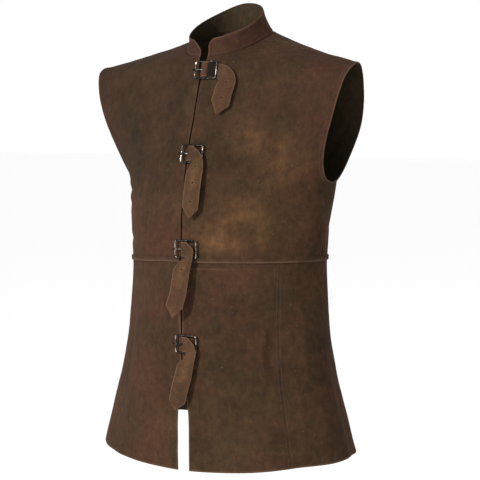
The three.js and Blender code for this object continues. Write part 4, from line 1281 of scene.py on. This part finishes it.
def strap(number):
    middle_of, across_of, halves = strap_line(number)
    last = len(halves) - 1
    fine = np.linspace(0, last, 900)
    run = run_along(at_station(middle_of, fine), 0)
    length, shoulder = run[-1], np.interp(last - 1, fine, run)
    run_at_free = np.interp(len(STRAP_ROOT) + 0.5, fine, run)
    stations = np.interp(np.arange(len(halves)), fine, run)
    widest = max(halves)

    def half_at(s):
        """Half the strap's width at a distance along it, down to its blunt point."""
        return np.interp(s, stations, halves)

    def waves(s, t, size, seed, turned):
        return noise(np.stack([s, t, 0 * s + turned * number], -1), size, seed)[:, None]

    def place(flat):
        """Lays the strap's own plane on its line, cupped a little and with a soft wave."""
        s, t = np.clip(flat[:, 0], 0, length), flat[:, 1]
        station = np.interp(s, run, fine)
        ahead = at_station(middle_of, np.clip(station + 0.05, 0, last))
        behind = at_station(middle_of, np.clip(station - 0.05, 0, last))
        across = unit(at_station(across_of, station))
        facing = unit(np.cross(ahead - behind, across))
        free = smooth((s - run_at_free) / 25)[:, None]
        cup = -STRAP["cup"] * (t / half_at(s))[:, None] ** 2
        wave = 0.7 * waves(s, t * 1.5, 17, 71, 40) + 0.25 * waves(s, t, 6, 73, 9)
        curl = TIP_CURL[number] * smooth((s - length + TIP) / TIP)[:, None] ** 2
        off = (cup + wave) * free + curl
        for share_along, depth in STRAP_KINKS[number]:
            past = s - share_along * length - KINK["slant"] * t
            off = off + depth * bell(past, KINK["width"])[:, None]
        return at_station(middle_of, station) + across * t[:, None] + facing * off, facing

    side = np.append(np.arange(0, shoulder, 2.0), np.linspace(shoulder, length, 10)[:-1])
    lower = [(s, -float(half_at(s))) for s in side]
    nose = [(length, -halves[-1]), (length, halves[-1])]
    upper = [(s, -t) for s, t in reversed(lower)]
    end = [(0, t) for t in np.arange(halves[0] - 2, -halves[0] + 1, -2.0)]
    outline = np.array(lower + nose + upper + end)
    punched = [(np.interp(len(STRAP_ROOT) + at, fine, run), 0) for at in HOLES[number]]
    slot_from, slot_to = (float(np.interp(slot_station(x), fine, run)) for x in PRONG_SLOT)
    wide = STRAP["slot_half"]
    slot = np.array([(slot_from, -wide), (slot_to, -wide), (slot_to, wide), (slot_from, wide)])
    holes = [circle(centre, STRAP["hole"], 20) for centre in punched] + [slot]
    cell = STRAP["cell"]
    inner = loose_points(np.arange(1.2, length, cell), np.arange(0.8 - widest, widest, cell),
                         holes, 0.6)
    inside = (np.abs(inner[:, 1]) < half_at(inner[:, 0]) - 0.7) & (inner[:, 0] < length - 0.8)
    flat, triangles = strip_faces(outline, holes, inner[inside])
    along, across = flat.T
    from_side = half_at(along) - np.abs(across)
    hanging = smooth((along - run_at_free) / 30)
    blotch = smooth(waves(along, across, 22, 81, 9)[:, 0] * 2 + 0.4)
    worn = bell(from_side, 1.1) + 0.12 * smooth((along - run_at_free) / 12)
    for centre in punched:
        rim = np.hypot(*(flat - centre).T) - STRAP["hole"]
        worn = worn + 0.55 * bell(rim, 0.9)
    marks = {"worn": np.clip(worn, 0, 1),
             "ochre": STRAP_OCHRE[number] * bell(across, 8) * hanging * blotch,
             "rust": STRAP_RUST[number] * np.ones(len(flat)),
             "painted_shade": strap_painted_shade(number, along, fine, run)}
    finish_strip("strap", "strap", number, (flat, triangles), place, STRAP["thick"], marks)


# ---- Buckles ----


def rounded_rectangle(centre_x, width, tall, radius):
    points = []
    for start, sign_x, sign_y in ((-90, 1, -1), (0, 1, 1), (90, -1, 1), (180, -1, -1)):
        points += arc(centre_x + sign_x * (width / 2 - radius), sign_y * (tall / 2 - radius),
                      radius, start, 6)
    return points


def rounded_plate(name, loops, depth, bevel, steps):
    """A plate from flat loops, the first its outline and the rest holes, with rounded edges."""
    data = bpy.data.curves.new(name, "CURVE")
    data.dimensions = "2D"
    data.fill_mode = "BOTH"
    for loop in loops:
        spline = data.splines.new("POLY")
        spline.points.add(len(loop) - 1)
        for point, (x, y) in zip(spline.points, loop):
            point.co = (x, y, 0, 1)
        spline.use_cyclic_u = True
    data.extrude = depth / 2 - bevel
    data.bevel_depth = bevel
    data.bevel_resolution = steps
    data.offset = -bevel
    holder = new_object(name + "_outline", data)
    bpy.context.view_layer.update()
    evaluated = holder.evaluated_get(bpy.context.evaluated_depsgraph_get())
    mesh = bpy.data.meshes.new_from_object(evaluated)
    bpy.data.objects.remove(holder)
    bpy.data.curves.remove(data)
    mesh.name = name
    return mesh


HIGHLIGHT_WIDTH = 1.8


def metal_piece(name, mesh, number, lay, node, highlight_at):
    """Puts a plate on its seat. lay turns it from its own plane to the seat's.

    The last argument: how far left and right of the middle a painted highlight runs along the
    metal.
    """
    # Painted highlight along the metal at the given distance from the middle.
    aside = np.array([abs(vertex.co.x) for vertex in mesh.vertices])
    near = bell(aside - highlight_at, HIGHLIGHT_WIDTH)
    wear_and_highlight = mesh.attributes.new("wear_and_highlight", "FLOAT", "POINT")
    wear_and_highlight.data.foreach_set("value", near.astype(np.float32))
    raised = Matrix.Translation((0, 0, BUCKLE["height"])) @ lay
    mesh.transform(Matrix.Scale(MM, 4) @ seat(number) @ raised)
    mesh.materials.clear()
    mesh.materials.append(NICKEL)
    mesh.polygons.foreach_set("use_smooth", np.ones(len(mesh.polygons), bool))
    declare(new_object(name, mesh), node)


def buckle_frame(number):
    width, tall, bar = BUCKLE["width"], BUCKLE["tall"], BUCKLE["bar"]
    window = (width - 3 * bar) / 2
    loops = [rounded_rectangle(0, width, tall, BUCKLE["corner"])]
    for side in (-1, 1):
        centre = side * (bar + window) / 2
        loops.append(rounded_rectangle(centre, window, tall - 2 * bar, BUCKLE["window_corner"]))
    mesh = rounded_plate(f"frame_{number + 1}", loops, bar, 1.25, 4)
    metal_piece(f"buckle_frame_{number + 1}", mesh, number, Matrix(), f"buckle_{number + 1}",
                (width - bar) / 2)


# The prong, drawn from the side: its ring round the bar, and its blade over and under.
PRONG = {"eye": 2.15, "ring": 3.25, "half": 1.5}
PRONG_TOP = [(-8, 3.4), (-14, 4.2), (-20, 3.9), (-24.5, 3.3), (-25, 2.3)]
PRONG_UNDER = [(-23.6, 1.85), (-20, 1.85), (-14, 2.2), (-8, 1.3)]


def prong(number):
    turn = np.radians(np.linspace(-162, 130, 26))
    outline = [(PRONG["ring"] * math.cos(a), PRONG["ring"] * math.sin(a)) for a in turn]
    loops = [outline + PRONG_TOP + PRONG_UNDER, circle((0, 0), PRONG["eye"], 24).tolist()]
    mesh = rounded_plate(f"prong_{number + 1}_plate", loops, 2 * PRONG["half"], 0.45, 3)
    metal_piece(f"buckle_prong_{number + 1}", mesh, number,
                Matrix.Rotation(math.radians(90), 4, "X"), f"prong_{number + 1}", FAR)


# ---- The folded tabs that hold the buckles ----

TAB = {"half": 9.5, "thick": 1.3, "reach": 14.2, "low": 1.2, "high": 2.55, "eye": 2.9,
       "slot": 2.3, "corner": 3.5}
# The points of the tab's line between which it goes round the bar.
TAB_FOLD = (12, 34)


def tab_path():
    """The tab's middle line, from its lower end round the bar to its upper end."""
    middle = BUCKLE["height"]
    path = [(x, TAB["low"]) for x in np.linspace(TAB["reach"], 3.0, 12)]
    turn = np.radians(np.linspace(-125, -330, 22))
    path += [(TAB["eye"] * math.cos(a), middle + TAB["eye"] * math.sin(a)) for a in turn]
    path += [(x, z) for x, z in zip(np.linspace(5.2, TAB["reach"], 12),
                                     TAB["high"] + 0.9 * np.exp(-np.linspace(0, 6, 12)))]
    return np.array(path)


def tab(number):
    path = tab_path()
    for _ in range(2):
        path[1:-1] = (path[:-2] + 2 * path[1:-1] + path[2:]) / 4
    run = run_along(path, 0)
    length, half, wide = run[-1], TAB["half"], TAB["slot"]
    matrix = np.array(seat(number))

    def place(flat):
        s, t = np.clip(flat[:, 0], 0, length), flat[:, 1]
        x, z = on_line(path, run, s).T
        ahead = on_line(path, run, s + 0.6) - on_line(path, run, s - 0.6)
        facing = unit(np.stack([-ahead[:, 1], 0 * x, ahead[:, 0]], -1))
        turned = matrix[:3, :3].T
        return np.stack([x, t, z], -1) @ turned + matrix[:3, 3], facing @ turned

    radius = TAB["corner"]
    near, far, aside = radius, length - radius, half - radius
    lower = [(s, -half) for s in np.arange(near + 1.5, far - 1, 1.5)]
    upper = [(s, half) for s in np.arange(far - 1.5, near + 1, -1.5)]
    outline = np.array(arc(near, -aside, radius, 180, 5) + lower + arc(far, -aside, radius, -90, 5)
                       + arc(far, aside, radius, 0, 5) + upper + arc(near, aside, radius, 90, 5))
    slot_from, slot_to = run[TAB_FOLD[0]] - 0.8, run[TAB_FOLD[1]] + 1.2
    slot = np.array([(s, -wide) for s in np.linspace(slot_from, slot_to, 14)]
                    + [(s, wide) for s in np.linspace(slot_to, slot_from, 14)])
    inner = loose_points(np.arange(0.8, length, 1.1), np.arange(0.8 - half, half, 1.3), [slot],
                         0.5)
    inner = inner[in_loop(outline, inner) & (half - np.abs(inner[:, 1]) > 0.6)]
    flat, triangles = strip_faces(outline, [slot], inner)
    none = np.zeros(len(flat))
    # The whole tab gets an even painted shade, for the buckle's frame that lies over it.
    marks = {"worn": bell(half - np.abs(flat[:, 1]), 1), "ochre": none, "rust": none + 0.2,
             "painted_shade": none + 0.25}
    finish_strip("tab", "chape", number, (flat, triangles), place, TAB["thick"], marks)


for make in (strap, buckle_frame, prong, tab):
    for number in range(len(BUCKLE_HEIGHTS)):
        make(number)

# ---- Stage, light and camera ----


KEY_LIGHT = {"place": (-0.6, -3.15, 0.8), "aim": (0, 0, -0.35), "size": 0.25, "power": 118}
FLOOR = {"half": 40, "height": -1.3}
SKY_STRENGTH = 1.02


def key_light():
    data = bpy.data.lights.new("key", "AREA")
    data.shape = "RECTANGLE"
    data.size = data.size_y = KEY_LIGHT["size"]
    data.energy = KEY_LIGHT["power"]
    lamp = new_object("key", data)
    lamp.location = KEY_LIGHT["place"]
    toward = Vector(KEY_LIGHT["aim"]) - Vector(KEY_LIGHT["place"])
    lamp.rotation_euler = toward.to_track_quat("-Z", "Y").to_euler()


def stage():
    world = bpy.data.worlds.new("studio")
    bpy.context.scene.world = world
    world.use_nodes = True
    background = world.node_tree.nodes["Background"]
    background.inputs["Color"].default_value = (1, 1, 1, 1)
    background.inputs["Strength"].default_value = SKY_STRENGTH
    n = Nodes("pale_floor")
    n.put("Base Color", grey(0.95))
    n.put("Roughness", 0.9)
    mesh = bpy.data.meshes.new("floor")
    places = [(x * FLOOR["half"], y * FLOOR["half"], FLOOR["height"])
              for x, y in ((-1, -1), (1, -1), (1, 1), (-1, 1))]
    mesh.from_pydata(places, [], [(0, 1, 2, 3)])
    mesh.materials.append(n.material)
    new_object("floor", mesh)
    key_light()


CAMERA = {"azimuth": 36, "distance": 3.0, "height": -0.150, "pitch": 4.2, "aside": 0.0156,
          "lens": 122.9, "sensor": 36}


def camera():
    data = bpy.data.cameras.new("camera")
    data.sensor_width = CAMERA["sensor"]
    data.lens = CAMERA["lens"]
    view = new_object("camera", data)
    turn = math.radians(CAMERA["azimuth"])
    sine, cosine = math.sin(turn), math.cos(turn)
    view.location = (CAMERA["distance"] * sine + CAMERA["aside"] * cosine,
                     -CAMERA["distance"] * cosine + CAMERA["aside"] * sine, CAMERA["height"])
    view.rotation_euler = (math.radians(90 - CAMERA["pitch"]), 0, turn)
    bpy.context.scene.camera = view


stage()
camera()
bpy.context.scene.view_settings.view_transform = "Standard"


def corners(box):
    return [[float(value) for value in corner] for corner in box]
